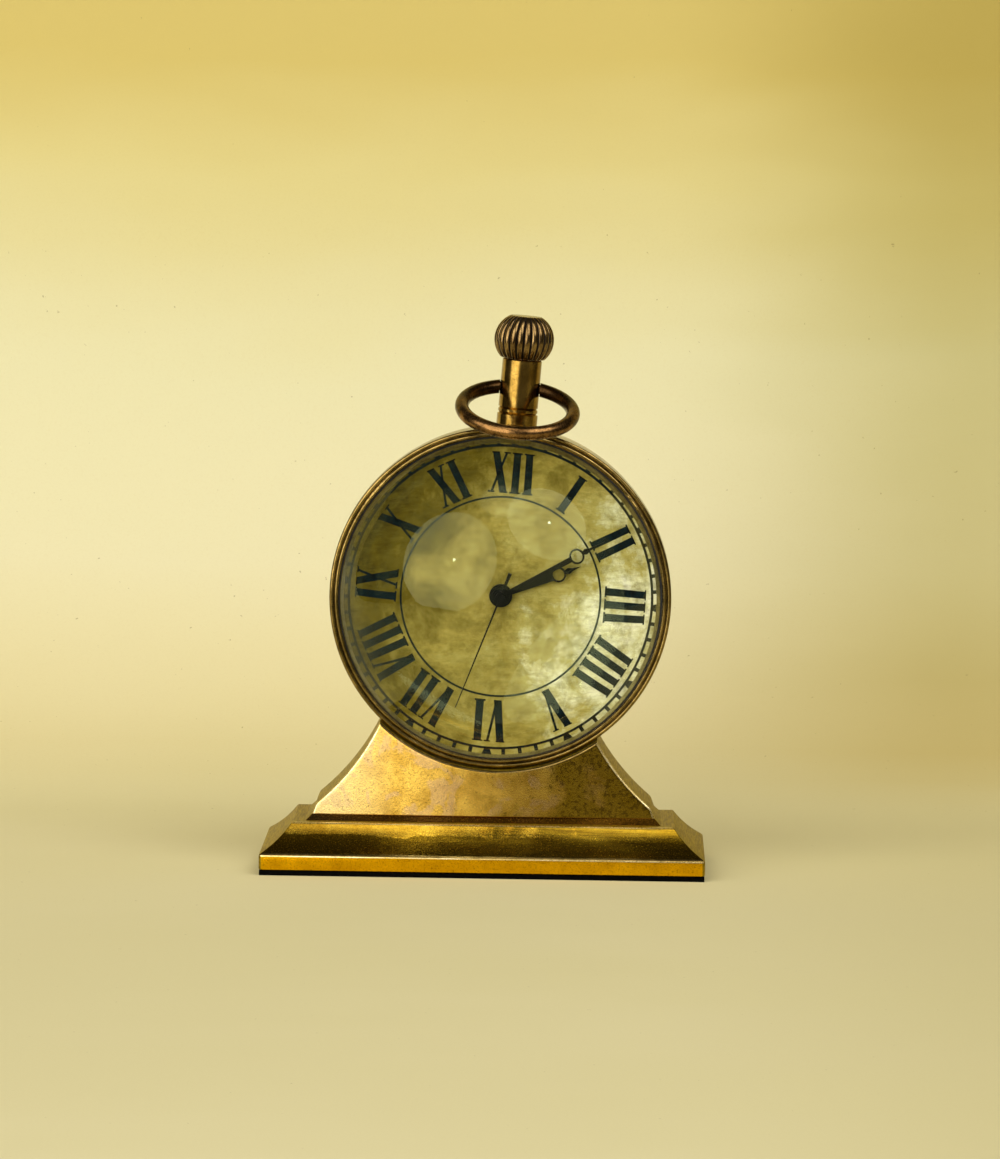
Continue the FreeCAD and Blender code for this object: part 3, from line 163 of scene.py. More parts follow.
def mix(tree, share, first, second, blend="MIX"):
    """Two colours mixed by a share: 0 gives the first, 1 the second."""
    node = add(tree, "ShaderNodeMix", data_type="RGBA", blend_type=blend)
    for number, value in ((MIX_SHARE, share), (MIX_FIRST, first), (MIX_SECOND, second)):
        if isinstance(value, bpy.types.NodeSocket):
            tree.links.new(value, node.inputs[number])
        else:
            value = colour(value) if isinstance(value, str) else value
            node.inputs[number].default_value = value
    return node.outputs[MIX_RESULT]


def maths(tree, operation, first, second=0.0):
    return add(tree, "ShaderNodeMath", {0: first, 1: second}, operation=operation).outputs[0]


def times(tree, first, second):
    return maths(tree, "MULTIPLY", first, second)


def plus(tree, first, second):
    return maths(tree, "ADD", first, second)


def minus(tree, first, second):
    return maths(tree, "SUBTRACT", first, second)


def slope(tree, distance, start, end, before, after):
    """One number up to a distance in millimetres, another from a further one on."""
    return add(tree, "ShaderNodeMapRange", {
        "Value": distance, "From Min": start * MM, "From Max": end * MM,
        "To Min": before, "To Max": after}).outputs[0]


def zone(tree, height, low, high, fade=0.03):
    """1 between two heights in millimetres, 0 above and below them."""
    return times(tree, slope(tree, height, low - fade, low, 0.0, 1.0),
                 slope(tree, height, high, high + fade, 1.0, 0.0))


def bump(tree, height, depth_mm, strength, under=None):
    """A normal for a height between 0 and 1, on top of another normal if one is given."""
    inputs = {"Height": height, "Distance": depth_mm * MM, "Strength": strength}
    if under is not None:
        inputs["Normal"] = under
    return add(tree, "ShaderNodeBump", inputs).outputs[0]


# ---------------------------------------------------------------- materials
def patinated(tree, place, light, deep, speck_shade, cloud_mm=4.0, speck_mm=0.3):
    """Brass between two shades under fine dark specks; gives the colour and the specks."""
    cloud = noise(tree, place, cloud_mm, detail=5, rough=0.65)
    speck = noise(tree, place, speck_mm, detail=3, rough=0.75)
    shade = mix(tree, ramp(tree, cloud, (0.35, 0.0), (0.65, 1.0)), light, deep)
    shade = mix(tree, ramp(tree, speck, (0.53, 0.0), (0.7, 0.75)), shade, speck_shade)
    return shade, speck


# the block's faces carry a pale painted highlight left of the first of these places along x, and
# none right of the second
PAINTED_HIGHLIGHT_SPAN = (-28, -16)
# the cove's painted shade fades out between these heights, which clouds lower by up to WAVE
DARK_LINE = (7.9, 8.15)
WAVE = 2.2
# depth of the long faces' bulge, and how far its crest lies towards the right end, as a share
BULGE_DEPTH = 6.0
BULGE_CREST = 0.2


def cast_face(tree, place, x, drift, right):
    """The block's faces: pale gold, with a painted highlight at the far left, olive at the right
    as tarnish and painted shade, with a rosy film and dark pits; gives the colour and the
    specks."""
    shade, speck = patinated(tree, place, "#C4A24A", "#A07E30", "#4A380E")
    # olive towards the right: partly tarnish, partly painted shade
    shade = mix(tree, times(tree, right, 0.75), shade, "#76600C")
    # painted highlight: the faces turn pale towards the far left
    shade = mix(tree, slope(tree, x, *PAINTED_HIGHLIGHT_SPAN, 0.6, 0.0), shade, "#D8C896")
    film = ramp(tree, noise(tree, place, 6, detail=4, distort=1.5), (0.52, 0.0), (0.58, 0.4))
    film = times(tree, film, ramp(tree, drift, (0.45, 1.0), (0.64, 0.0)))
    shade = mix(tree, film, shade, "#A88E74")
    pit = plus(tree, noise(tree, place, 0.7, detail=3, rough=0.7), times(tree, right, 0.12))
    shade = mix(tree, ramp(tree, pit, (0.63, 0.0), (0.7, 0.6)), shade, "#3A2A0C")
    return shade, speck


def cast_cove(tree, place, shade, hollow, height, bloom, right, streak):
    """Lay the cove over a colour: a painted highlight of gold above, painted shade of deep brown
    below, scored along its length.
    """
    # the cove's gold is a painted highlight along its top
    gold, _ = patinated(tree, place, "#E4BC40", "#BE9224", "#7A5A10", 5.0, 0.35)
    # the cove too turns olive at the right: partly tarnish, partly painted shade
    gold = mix(tree, times(tree, right, 0.75), gold, "#6E5A10")
    shade = mix(tree, hollow, shade, gold)
    wave = plus(tree, height, times(tree, bloom, WAVE * MM))
    deep = times(tree, slope(tree, wave, *DARK_LINE, 0.85, 0.0),
                 minus(tree, 1.0, times(tree, right, 0.35)))
    # painted shade: deep brown low in the cove, a little lighter at the right
    shade = mix(tree, times(tree, hollow, deep), shade, "#5E4604")
    scored = times(tree, ramp(tree, streak, (0.48, 0.0), (0.58, 0.75)),
                   plus(tree, 0.2, times(tree, right, 0.8)))
    return mix(tree, times(tree, hollow, scored), shade, "#5A4410")


def cast_brass():
    """Cast brass, polished long ago: pale at the left by a painted highlight, olive at the right
    by tarnish and painted shade, darker in its cove and on its step by painted shade, amber on
    its plinth, matt with file marks at its two ends."""
    material, tree, place = new_material("brass_cast_aged_and_painted_light")
    x, _, height = axes(tree, place)
    facing = axes(tree, add(tree, "ShaderNodeTexCoord").outputs["Normal"])
    matt = maths(tree, "MAXIMUM", maths(tree, "ABSOLUTE", facing[0]), minus(tree, facing[2], 0.6))
    ends = ramp(tree, matt, (0.3, 0.0), (0.38, 1.0))
    bloom = noise(tree, place, 9, detail=5, distort=0.9)
    drift = plus(tree, times(tree, x, 1 / (2 * HALF_X * MM)), times(tree, bloom, 0.9))
    right = ramp(tree, drift, (0.5, 0.0), (0.64, 1.0), smooth=True)
    hollow = zone(tree, height, COVE_FOOT, COVE_TOP)
    streak = noise(tree, place, 0.7, detail=5, rough=0.7, stretch=(0.04, 1, 1))
    filed = noise(tree, place, 0.25, detail=3, rough=0.6, stretch=(1, 0.05, 1))
    plinth = zone(tree, height, FELT_TOP, PLINTH_TOP)

    shade, speck = cast_face(tree, place, x, drift, right)
    shade = cast_cove(tree, place, shade, hollow, height, bloom, right, streak)
    # painted shade: the step under the block is darkened brown
    step = zone(tree, height, COVE_TOP + 0.03, STEP_TOP)
    shade = mix(tree, times(tree, step, 0.85), shade, "#805616")
    amber, _ = patinated(tree, place, "#F0B408", "#D29A04", "#6A4408", 3.0, 0.4)
    shade = mix(tree, plinth, shade, amber)
    marks = mix(tree, ramp(tree, filed, (0.35, 0.0), (0.65, 1.0)), "#B09624", "#7E681A")
    shade = mix(tree, ends, shade, marks)

    rough = ramp(tree, speck, (0.35, 0.13), (0.7, 0.32))
    rough = times(tree, rough, minus(tree, 1.0, times(tree, plinth, 0.4)))
    rough = plus(tree, rough, times(tree, ends, 0.32))

    # hand polishing left the long faces slightly rounded towards their two ends
    across = minus(tree, times(tree, x, 1 / (HALF_X * MM)), BULGE_CREST)
    bulge = minus(tree, 1.0, times(tree, across, across))
    upper = slope(tree, height, COVE_TOP, COVE_TOP + 0.1, 0.1, 1.0)
    rounded = bump(tree, bulge, BULGE_DEPTH, upper)
    grain = mix(tree, ends, mix(tree, hollow, speck, streak), filed)
    return principled(material, tree, {
        "Base Color": shade, "Metallic": 1.0, "Roughness": rough,
        "Normal": bump(tree, grain, 0.04, 0.4, under=rounded)})


def worn_highlit_edge():
    """The casting's edges, rubbed pale by handling, and paler still as a painted highlight along
    them.
    """
    material, tree, place = new_material("brass_edge_rubbed_and_highlit")
    shade, speck = patinated(tree, place, "#F4E6B8", "#D8BC6A", "#8A6A26", 5.0, 0.4)
    return principled(material, tree, {
        "Base Color": shade, "Metallic": 1.0,
        "Roughness": ramp(tree, speck, (0.3, 0.22), (0.7, 0.34)),
        "Normal": bump(tree, speck, 0.02, 0.3)})


def turned_brass(name, light, deep, speck_shade, smooth_rough, dull_rough, darkened_span=None):
    """Lathe-turned brass under a brown age patina. If a span is given, it darkens towards the
    back, from one distance along y to another, in millimetres."""
    material, tree, place = new_material(name)
    shade, speck = patinated(tree, place, light, deep, speck_shade, 2.5, 0.25)
    if darkened_span:
        dark = slope(tree, axes(tree, place)[1], *darkened_span, 0.0, 0.8)
        shade = mix(tree, dark, shade, speck_shade)
    return principled(material, tree, {
        "Base Color": shade, "Metallic": 1.0,
        "Roughness": ramp(tree, speck, (0.35, smooth_rough), (0.7, dull_rough)),
        "Normal": bump(tree, speck, 0.02, 0.3)})


def lens_glass():
    """Clear crown glass, polished: bends the view of the dial and shows the lamps faintly."""
    material, tree, place = new_material("crown_glass_polished")
    haze = noise(tree, place, 6, detail=4)
    return principled(material, tree, {
        "Base Color": ramp(tree, haze, (0.4, "#F8FBF6"), (0.6, "#F2F7EE")),
        "Specular Tint": colour("#B0C09C"), "Roughness": 0.0,
        "IOR": 1.52, "Transmission Weight": 1.0})


def dial_paper():
    """Printed dial on aged paper: olive parchment, darker at its left and upper edge."""
    material, tree, place = new_material("parchment_print_matt")
    local = add(tree, "ShaderNodeMapping", {
        "Vector": place, "Location": -CASE_CENTRE}, vector_type="POINT").outputs[0]
    x, _, height = axes(tree, local)
    radius = add(tree, "ShaderNodeVectorMath", {0: local}, operation="LENGTH").outputs["Value"]
    across, upward, edge = (times(tree, length, 1 / (DIAL_RADIUS * MM))
                            for length in (x, height, radius))
    cloud = noise(tree, place, 7, detail=6, rough=0.7, distort=0.3)
    stain = noise(tree, place, 2.2, detail=5, rough=0.7)
    fibre = noise(tree, place, 0.4, detail=4, rough=0.7, stretch=(0.2, 1, 1))
    lean = minus(tree, times(tree, across, 0.3), times(tree, upward, 0.1))
    age = plus(tree, minus(tree, lean, times(tree, edge, 0.14)), times(tree, cloud, 0.8))
    paper = ramp(tree, age, (0.0, "#342C00"), (0.17, "#5A4E06"), (0.34, "#A09246"),
                 (0.44, "#B2A860"), (0.55, "#E2E2B8"), (0.68, "#FFFFF0"))
    stained = mix(tree, ramp(tree, stain, (0.5, 0.0), (0.66, 0.5)), paper, "#665A14")
    grain = mix(tree, ramp(tree, fibre, (0.4, 0.0), (0.7, 0.4)), stained, "#6C6428")
    return principled(material, tree, {
        "Base Color": grain, "Roughness": 0.8, "Specular IOR Level": 0.1,
        "Normal": bump(tree, fibre, 0.03, 0.2)})


def printed_ink():
    """Letterpress ink, blue-black, slightly uneven where the paper drank it."""
    material, tree, place = new_material("ink_blue_black_matt")
    cloud = noise(tree, place, 1.0, detail=4, rough=0.7)
    return principled(material, tree, {
        "Base Color": ramp(tree, cloud, (0.3, "#020709"), (0.7, "#0A1E24")),
        "Roughness": 0.8, "Specular IOR Level": 0.05})


def plain_finish(name, first, second, metallic, roughness, grain_mm, depth_mm=0.01, stretch=None,
                 gloss=0.5):
    """A surface that drifts between two close shades at one grain size."""
    material, tree, place = new_material(name)
    grain = noise(tree, place, grain_mm, detail=4, rough=0.6, stretch=stretch)
    rough = ramp(tree, grain, (0.3, roughness * 0.85), (0.7, min(1.0, roughness * 1.15)))
    return principled(material, tree, {
        "Base Color": ramp(tree, grain, (0.35, first), (0.65, second)), "Metallic": metallic,
        "Roughness": rough, "Specular IOR Level": gloss,
        "Normal": bump(tree, grain, depth_mm, 0.3)})


CAST_BRASS = cast_brass()
WORN_HIGHLIT_BRASS = worn_highlit_edge()
NECK_BRASS = turned_brass("brass_turned_golden_brown", "#AC8C46", "#846628", "#33240C",
                          0.1, 0.22)
# dark patina of the bezel; on the casting the same brass is painted shade
RIM_BRASS = turned_brass("brass_dark_patina_and_painted_shade", "#A08850", "#6E5C30", "#1E180A",
                         0.14, 0.3)
CROWN_BRASS = turned_brass("brass_knurled_brown_patina", "#9A8054", "#5E482A", "#1C1208",
                           0.12, 0.28)
# paler than the other turned brass: painted light where the bezel shades the ring
REHAUT_BRASS = turned_brass("brass_turned_pale_painted_light", "#B0A468", "#8A7E46", "#6A5E36",
                            0.25, 0.4)
# the bail darkens towards its back
BRONZE_WIRE = turned_brass("brass_wire_brown_patina", "#A27A4A", "#402C16", "#180E06",
                           0.18, 0.38, darkened_span=(-10, -3))
GLASS = lens_glass()
PAPER = dial_paper()
INK = printed_ink()
# painted shade in the crown's valleys, near black
VALLEY_SHADE = plain_finish("valley_shade_black_brown", "#120A05", "#2A1C0E", 0.6, 0.55, 0.3)
# wool felt: matt black, fuzzy
FELT = plain_finish("felt_wool_black", "#040404", "#0E0D0B", 0.0, 0.98, 0.25, 0.15, gloss=0.0)
# lacquered steel hands: black, with the low gloss of baked lacquer
HANDS = plain_finish("steel_black_lacquer", "#020202", "#060606", 0.0, 0.35, 0.6, gloss=0.15)
# pipes that carry the hands: blackened with them
PIPE = plain_finish("brass_pipe_blackened", "#070605", "#141210", 0.4, 0.4, 0.5, gloss=0.2)
# moulded rubber: dull black
RUBBER = plain_finish("rubber_moulded_black", "#0C0C0B", "#171614", 0.0, 0.7, 0.4)
# zinc plated steel: bright grey
STEEL = plain_finish("steel_zinc_plated", "#9A9B9D", "#B9BABC", 1.0, 0.32, 0.5)
# rolled plate brass of the movement: pale and satin
PLATE_BRASS = plain_finish("brass_rolled_satin", "#C9AB62", "#D8BC78", 1.0, 0.35, 0.4,
                           stretch=(1, 1, 6))
# acetal wheels: milky and waxy
ACETAL = plain_finish("acetal_moulded_natural", "#D9D5C6", "#E6E3D6", 0.0, 0.45, 0.8)
# enamelled copper wire of the coil
COPPER = plain_finish("copper_wire_enamelled", "#8E4A22", "#B9692F", 1.0, 0.38, 0.15,
                      stretch=(1, 8, 1))
# glass-fibre circuit board under green solder mask
BOARD = plain_finish("board_green_solder_mask", "#0F3A22", "#17512F", 0.0, 0.4, 0.6)
# black resin blob over the chip
RESIN = plain_finish("resin_black_drop", "#090909", "#141414", 0.0, 0.3, 1.0)
# sintered magnet: dark grey
MAGNET = plain_finish("magnet_sintered_grey", "#3A3B3E", "#4A4B4E", 1.0, 0.5, 0.3)
# pressed hardboard that closes the base
HARDBOARD = plain_finish("hardboard_pressed_brown", "#5A4028", "#7A5A3A", 0.0, 0.85, 0.7, 0.05)

FINISHES = {
    CAST_BRASS: ("base_casting",),
    NECK_BRASS: ("neck_tube", "case_band", "back_cover", "saddle_washer"),
    RIM_BRASS: ("bezel",),
    REHAUT_BRASS: ("rehaut_ring",),
    CROWN_BRASS: ("crown",),
    BRONZE_WIRE: ("bail",),
    GLASS: ("dome_lens",),
    PAPER: ("dial_plate",),
    FELT: ("felt_pad",),
    HANDS: ("hour_hand", "minute_hand", "second_hand", "cannon_pinion"),
    RUBBER: ("lens_gasket", "cover_seal", "stem_bush"),
    STEEL: ("fixing_screw", "board_screws", "bridge_screws", "winding_stem", "setting_pinion",
            "setting_lever", "setting_wheel", "quartz_crystal", "button_cell",
            "battery_clamp", "stator", "coil_core"),
    PLATE_BRASS: ("main_plate", "train_bridge", "minute_wheel"),
    PIPE: ("hour_wheel", "centre_wheel"),
    ACETAL: ("movement_holder", "seconds_wheel", "third_wheel", "fifth_wheel"),
    COPPER: ("coil",),
    BOARD: ("circuit_board",),
    RESIN: ("clock_chip",),
    MAGNET: ("stepper_rotor",),
    HARDBOARD: ("base_board",),
}
for finish, names in FINISHES.items():
    for name in names:
        for place in NODES[name].material_slots:
            place.material = finish


# ---------------------------------------------------------------- mesh helpers
# points this close, in metres, are one
WELD_GAP = 1e-7


def smooth_shade(obj, degrees):
    """Round surfaces shade smooth, and corners sharper than this stay crisp."""
    mesh = obj.data
    for face in mesh.polygons:
        face.use_smooth = True
    limit = math.radians(degrees)
    work = bmesh.new()
    work.from_mesh(mesh)
    for edge in work.edges:
        edge.smooth = len(edge.link_faces) == 2 and edge.calc_face_angle(0) < limit
    work.to_mesh(mesh)
    work.free()


def make_piece(name, points, faces, materials, matrix=Matrix(), body="root",
               replaced=(), weld=False, marks=()):
    """A mesh from points in millimetres, set by its matrix and riding on a body; marks
    gives each face's material, by its number."""
    mesh = bpy.data.meshes.new(name)
    mesh.from_pydata([matrix @ (Vector(point) * MM) for point in points], [], faces)
    for material in materials:
        mesh.materials.append(material)
    for face, mark in zip(mesh.polygons, marks):
        face.material_index = mark
    mesh.validate()
    obj = bpy.data.objects.new(name, mesh)
    bpy.context.scene.collection.objects.link(obj)
    work = bmesh.new()
    work.from_mesh(mesh)
    if weld:
        bmesh.ops.remove_doubles(work, verts=work.verts, dist=WELD_GAP)
    bmesh.ops.recalc_face_normals(work, faces=work.faces)
    work.to_mesh(mesh)
    work.free()
    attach(obj, body)
    if replaced:
        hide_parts(*replaced)
    return obj


def arc(centre, radius, start, end, steps):
    """Points (x, y) along an arc, angles in degrees."""
    found = []
    for number in range(steps + 1):
        angle = math.radians(start + (end - start) * number / steps)
        found.append((centre[0] + radius * math.cos(angle), centre[1] + radius * math.sin(angle)))
    return found


def turned_points(outline, segments):
    """An outline of (radius, height) turned around +Z: its points, and a row of their
    numbers for each point of the outline; a radius of nought is one point."""
    points = []
    rows = []
    for radius, height in outline:
        if radius == 0:
            rows.append([len(points)] * segments)
            points.append((0, 0, height))
            continue
        rows.append(list(range(len(points), len(points) + segments)))
        for number in range(segments):
            angle = 2 * math.pi * number / segments
            points.append((radius * math.cos(angle), radius * math.sin(angle), height))
    return points, rows


def band(low, high):
    """Faces between two closed rows of point numbers."""
    found = []
    for number in range(len(low)):
        after = (number + 1) % len(low)
        found.append([low[number], low[after], high[after], high[number]])
    return found


# ---------------------------------------------------------------- lens
LENS_RADIUS = 28.8
LENS_DOME = 31.9
LENS_FRONT = 26.5
LENS_BACK = 5.0
LENS_CHAMFER = 0.15
LENS_SEGMENTS = 256
DOME_STEPS = 96


def make_lens():
    """Thick plano-convex lens, finely divided so that its view of the dial stays smooth."""
    sphere_middle = LENS_FRONT - LENS_DOME
    edge_angle = math.degrees(math.acos(LENS_RADIUS / LENS_DOME))
    dome = arc((0, sphere_middle), LENS_DOME, edge_angle, 90, DOME_STEPS)
    outline = [(0.0, LENS_BACK), (LENS_RADIUS - LENS_CHAMFER, LENS_BACK),
               (LENS_RADIUS, LENS_BACK + LENS_CHAMFER), *dome[:-1], (0.0, LENS_FRONT)]
    points, rows = turned_points(outline, LENS_SEGMENTS)
    faces = []
    for low, high in zip(rows, rows[1:]):
        faces += [list(dict.fromkeys(corners)) for corners in band(low, high)]
    lens = make_piece("lens_polished", points, faces, (GLASS,), HEAD,
                      replaced=("dome_lens",))
    smooth_shade(lens, degrees=35)
    # light reaches the dial as through the real lens, without the grain of traced caustics
    lens.visible_shadow = False
    lens.visible_diffuse = False


make_lens()

# ---------------------------------------------------------------- crown
CROWN_START = 42.75
CROWN_HEIGHT = 7.65
CROWN_BELLY = 3.4
CROWN_RADIUS = 5.44
CROWN_FOOT = 3.95
CROWN_CAP = 2.85
CAP_FALL = 0.01
STEM_RADIUS = 1.15
FOOT_RIM = 0.5
CAP_RIM = 0.35
LOWER_STEPS = 10
UPPER_STEPS = 16
RIDGES = 24
RIDGE_DEPTH = 0.5
RIDGE_ROUND = 0.6
RIDGE_STEPS = 14
# share of the ridges' depth: under the foot, on the cap, and its growth below the cap
DEPTH_FOOT = 0.15
DEPTH_CAP_RIM = 0.08
DEPTH_CAP = 0.25
DEPTH_GROWTH = 1.8
# painted shade lies in valleys deeper than this share, on the steps next to their bottom
VALLEY_SHADE_DEPTH = 0.2
VALLEY_SHADE_STEPS = (0, 1, RIDGE_STEPS - 2, RIDGE_STEPS - 1)


def crown_arc(end_radius, height, steps):
    """Quarter-like arc from the belly to an end: (radius, distance from the belly)."""
    width = CROWN_RADIUS - end_radius
    bend = (width ** 2 + height ** 2) / (2 * width)
    turn = math.degrees(math.asin(height / bend))
    return arc((CROWN_RADIUS - bend, 0.0), bend, 0, turn, steps)


def crown_outline():
    """The crown from its foot to its cap: (radius, height, share of the ridges' depth)."""
    rise = CROWN_HEIGHT - CROWN_BELLY
    belly = CROWN_START + CROWN_BELLY
    top = CROWN_START + CROWN_HEIGHT - CAP_FALL
    outline = [(STEM_RADIUS, CROWN_START, 0.0), (CROWN_FOOT - FOOT_RIM, CROWN_START, DEPTH_FOOT)]
    for radius, z in crown_arc(CROWN_FOOT, CROWN_BELLY, LOWER_STEPS)[::-1]:
        outline.append((radius, belly - z, 1.0))
    for radius, z in crown_arc(CROWN_CAP, rise, UPPER_STEPS)[1:]:
        depth = min(1.0, DEPTH_CAP + (1 - z / rise) * DEPTH_GROWTH)
        outline.append((radius, belly + z, depth))
    return outline + [(CROWN_CAP - CAP_RIM, top, DEPTH_CAP_RIM), (0.0, top, 0.0)]


def make_crown():
    """Onion crown: two dozen rounded ridges with sharp valleys that run out on its cap."""
    outline = crown_outline()
    points = []
    rows = []
    around = RIDGES * RIDGE_STEPS
    for radius, height, depth in outline:
        rows.append(list(range(len(points), len(points) + around)))
        for number in range(around):
            share = 2 * (number % RIDGE_STEPS) / RIDGE_STEPS - 1
            valley = RIDGE_DEPTH * depth * (1 - (1 - share ** 2) ** RIDGE_ROUND)
            angle = 2 * math.pi * number / around
            reach = max(radius - valley, 0.0)
            points.append((reach * math.cos(angle), reach * math.sin(angle), height))
    faces = []
    marks = []
    for (_, _, depth), low, high in zip(outline, rows, rows[1:]):
        faces += band(low, high)
        # faces beside the deeper valleys take the painted shade
        marks += [int(depth > VALLEY_SHADE_DEPTH and number % RIDGE_STEPS in VALLEY_SHADE_STEPS)
                  for number in range(around)]
    faces.append(rows[0][::-1])
    crown = make_piece("crown_fluted", points, faces, (CROWN_BRASS, VALLEY_SHADE),
                       NECK, body="crown_knob", replaced=("crown",), weld=True,
                       marks=marks + [0])
    smooth_shade(crown, degrees=50)


make_crown()

# ---------------------------------------------------------------- dial print
DIAL_FRONT = 1.4
INK_RISE = 0.02
NUMERAL_FOOT = 13.75
NUMERAL_HEIGHT = 6.6
CIRCLE_RADIUS = 13.2
CIRCLE_WIDTH = 0.28
TRACK_RADIUS = 21.6
TRACK_WIDTH = 0.5
TRACK_EDGE = 23.9
TICK_HALF = 0.27
# every fifth mark of the minute track is a wedge
WEDGE_FOOT_HALF = 0.35
WEDGE_HEAD_HALF = 0.95
MINUTES = 60
STEM = 1.02
HAIR = 0.34
SERIF = 0.26
NUMERALS = ("XII", "I", "II", "III", "IIII", "V", "VI", "VII", "VIII", "IX", "X", "XI")
ADVANCE = {"I": 1.72, "V": 2.9, "X": 2.9}
# for each letter: its strokes (foot, head, width), and the spans of its serifs at the head
# and at the foot
LETTERS = {
    "I": (((0.0, 0.0, STEM),), ((-0.72, 0.72),), ((-0.72, 0.72),)),
    "V": (((0.0, -0.85, STEM), (0.12, 0.95, HAIR)), ((-1.45, -0.25), (0.55, 1.4)), ()),
    "X": (((0.78, -0.78, STEM), (-0.82, 0.82, HAIR)), ((-1.35, -0.3), (0.4, 1.3)),
          ((-1.3, -0.4), (0.3, 1.35))),
}


def bar(x_low, x_high, y_low, y_high):
    """An upright rectangle between these limits."""
    return [(x_low, y_low), (x_high, y_low), (x_high, y_high), (x_low, y_high)]


def stroke(foot, head, width, height):
    """An upright or slanting stroke, its ends cut level."""
    half = width / 2
    return [(foot - half, 0.0), (foot + half, 0.0), (head + half, height), (head - half, height)]


def letter(kind, height):
    """Outlines of one numeral letter around x = 0, standing on y = 0."""
    strokes, heads, feet = LETTERS[kind]
    return ([stroke(*shape, height) for shape in strokes]
            + [bar(*span, height - SERIF, height) for span in heads]
            + [bar(*span, 0, SERIF) for span in feet])


def on_dial(x, y, clockwise):
    """A point at x across and y outward from the axis, turned clockwise from twelve."""
    return (x * math.cos(clockwise) + y * math.sin(clockwise),
            -x * math.sin(clockwise) + y * math.cos(clockwise))


def annulus(middle, width, steps=180):
    """A ring of this middle radius and width, as short pieces."""
    inner = middle - width / 2
    outer = middle + width / 2
    shapes = []
    for number in range(steps):
        first = 2 * math.pi * number / steps
        second = 2 * math.pi * (number + 1) / steps
        shapes.append([on_dial(0, inner, first), on_dial(0, outer, first),
                       on_dial(0, outer, second), on_dial(0, inner, second)])
    return shapes


def minute_marks():
    """A tick for each minute, and a wedge for each hour."""
    shapes = []
    for minute in range(MINUTES):
        if minute % (MINUTES // len(NUMERALS)):
            corners = bar(-TICK_HALF, TICK_HALF, TRACK_RADIUS, TRACK_EDGE)
        else:
            corners = [(-WEDGE_FOOT_HALF, TRACK_RADIUS), (WEDGE_FOOT_HALF, TRACK_RADIUS),
                       (WEDGE_HEAD_HALF, TRACK_EDGE), (-WEDGE_HEAD_HALF, TRACK_EDGE)]
        turn = 2 * math.pi * minute / MINUTES
        shapes.append([on_dial(x, y, turn) for x, y in corners])
    return shapes


def numeral(text, turn):
    """A numeral's letters side by side, standing on their foot circle."""
    shapes = []
    cursor = -sum(ADVANCE[kind] for kind in text) / 2
    for kind in text:
        middle = cursor + ADVANCE[kind] / 2
        cursor += ADVANCE[kind]
        for outline in letter(kind, NUMERAL_HEIGHT):
            shapes.append([on_dial(x + middle, y + NUMERAL_FOOT, turn) for x, y in outline])
    return shapes


def make_print():
    """Everything printed on the dial, as one thin layer of ink."""
    shapes = annulus(CIRCLE_RADIUS, CIRCLE_WIDTH) + annulus(TRACK_RADIUS, TRACK_WIDTH)
    shapes += minute_marks()
    for hour, text in enumerate(NUMERALS):
        shapes += numeral(text, 2 * math.pi * hour / len(NUMERALS))
    points = []
    faces = []
    for shape in shapes:
        faces.append(list(range(len(points), len(points) + len(shape))))
        points += [(x, y, DIAL_FRONT + INK_RISE) for x, y in shape]
    make_piece("dial_print", points, faces, (INK,), HEAD)


make_print()

# ---------------------------------------------------------------- stage
CAMERA_DISTANCE = 1200.0
CAMERA_PITCH = math.radians(5.7)
CAMERA_YAW = math.radians(0.95)
CAMERA_ROLL = math.radians(0.77)
LOOK_AT = Vector((2.3, 0.0, 52.1))
PIXELS_PER_MM = 5.526
FRAME_HEIGHT_PIXELS = 1159
SENSOR = 36.0
# in metres
CLIP_START = 0.01
# light of the room where nothing lights it, and as the camera sees it
DARK_LEVEL = 0.05
SEEN_LEVEL = 0.7


def make_camera():
    """A long lens, a little above the clock and looking slightly down."""
    camera = bpy.data.objects.new("camera", bpy.data.cameras.new("camera"))
    bpy.context.scene.collection.objects.link(camera)
    right = Vector((math.cos(CAMERA_YAW), math.sin(CAMERA_YAW), 0))
    level = Vector((-math.sin(CAMERA_YAW), math.cos(CAMERA_YAW), 0))
    ahead = level * math.cos(CAMERA_PITCH) - Vector((0, 0, math.sin(CAMERA_PITCH)))
    above = level * math.sin(CAMERA_PITCH) + Vector((0, 0, math.cos(CAMERA_PITCH)))
    target = right * LOOK_AT.x + Vector((0, 0, LOOK_AT.z))
    turned_right = right * math.cos(CAMERA_ROLL) + above * math.sin(CAMERA_ROLL)
    turned_up = above * math.cos(CAMERA_ROLL) - right * math.sin(CAMERA_ROLL)
    place = Matrix((turned_right, turned_up, -ahead)).transposed().to_4x4()
    place.translation = (target - ahead * CAMERA_DISTANCE) * MM
    camera.matrix_world = place
    camera.data.sensor_width = SENSOR
    camera.data.lens = PIXELS_PER_MM * CAMERA_DISTANCE / FRAME_HEIGHT_PIXELS * SENSOR
    camera.data.clip_start = CLIP_START
    bpy.context.scene.camera = camera


# where each lamp stands as seen from the clock's middle, half the angle of the cone that it
# fills, in degrees, its brightness, its tint and its distance in metres
LAMPS = (
    ("softbox_left", (-0.554, -0.738, 0.385), 31.5, 2.75, "#FFF8EA", 1.1),
    ("softbox_right", (0.462, -0.486, 0.742), 24, 2.75, "#FFFAF0", 1.1),
    ("bulb_left", (-0.488, -0.772, 0.408), 0.9, 40, "#FFFAF0", 1.0),
    ("bulb_right", (0.472, -0.48, 0.74), 0.8, 80, "#FFFFFF", 1.0),
)
CLOCK_MIDDLE = Vector((0, 0, 0.05))


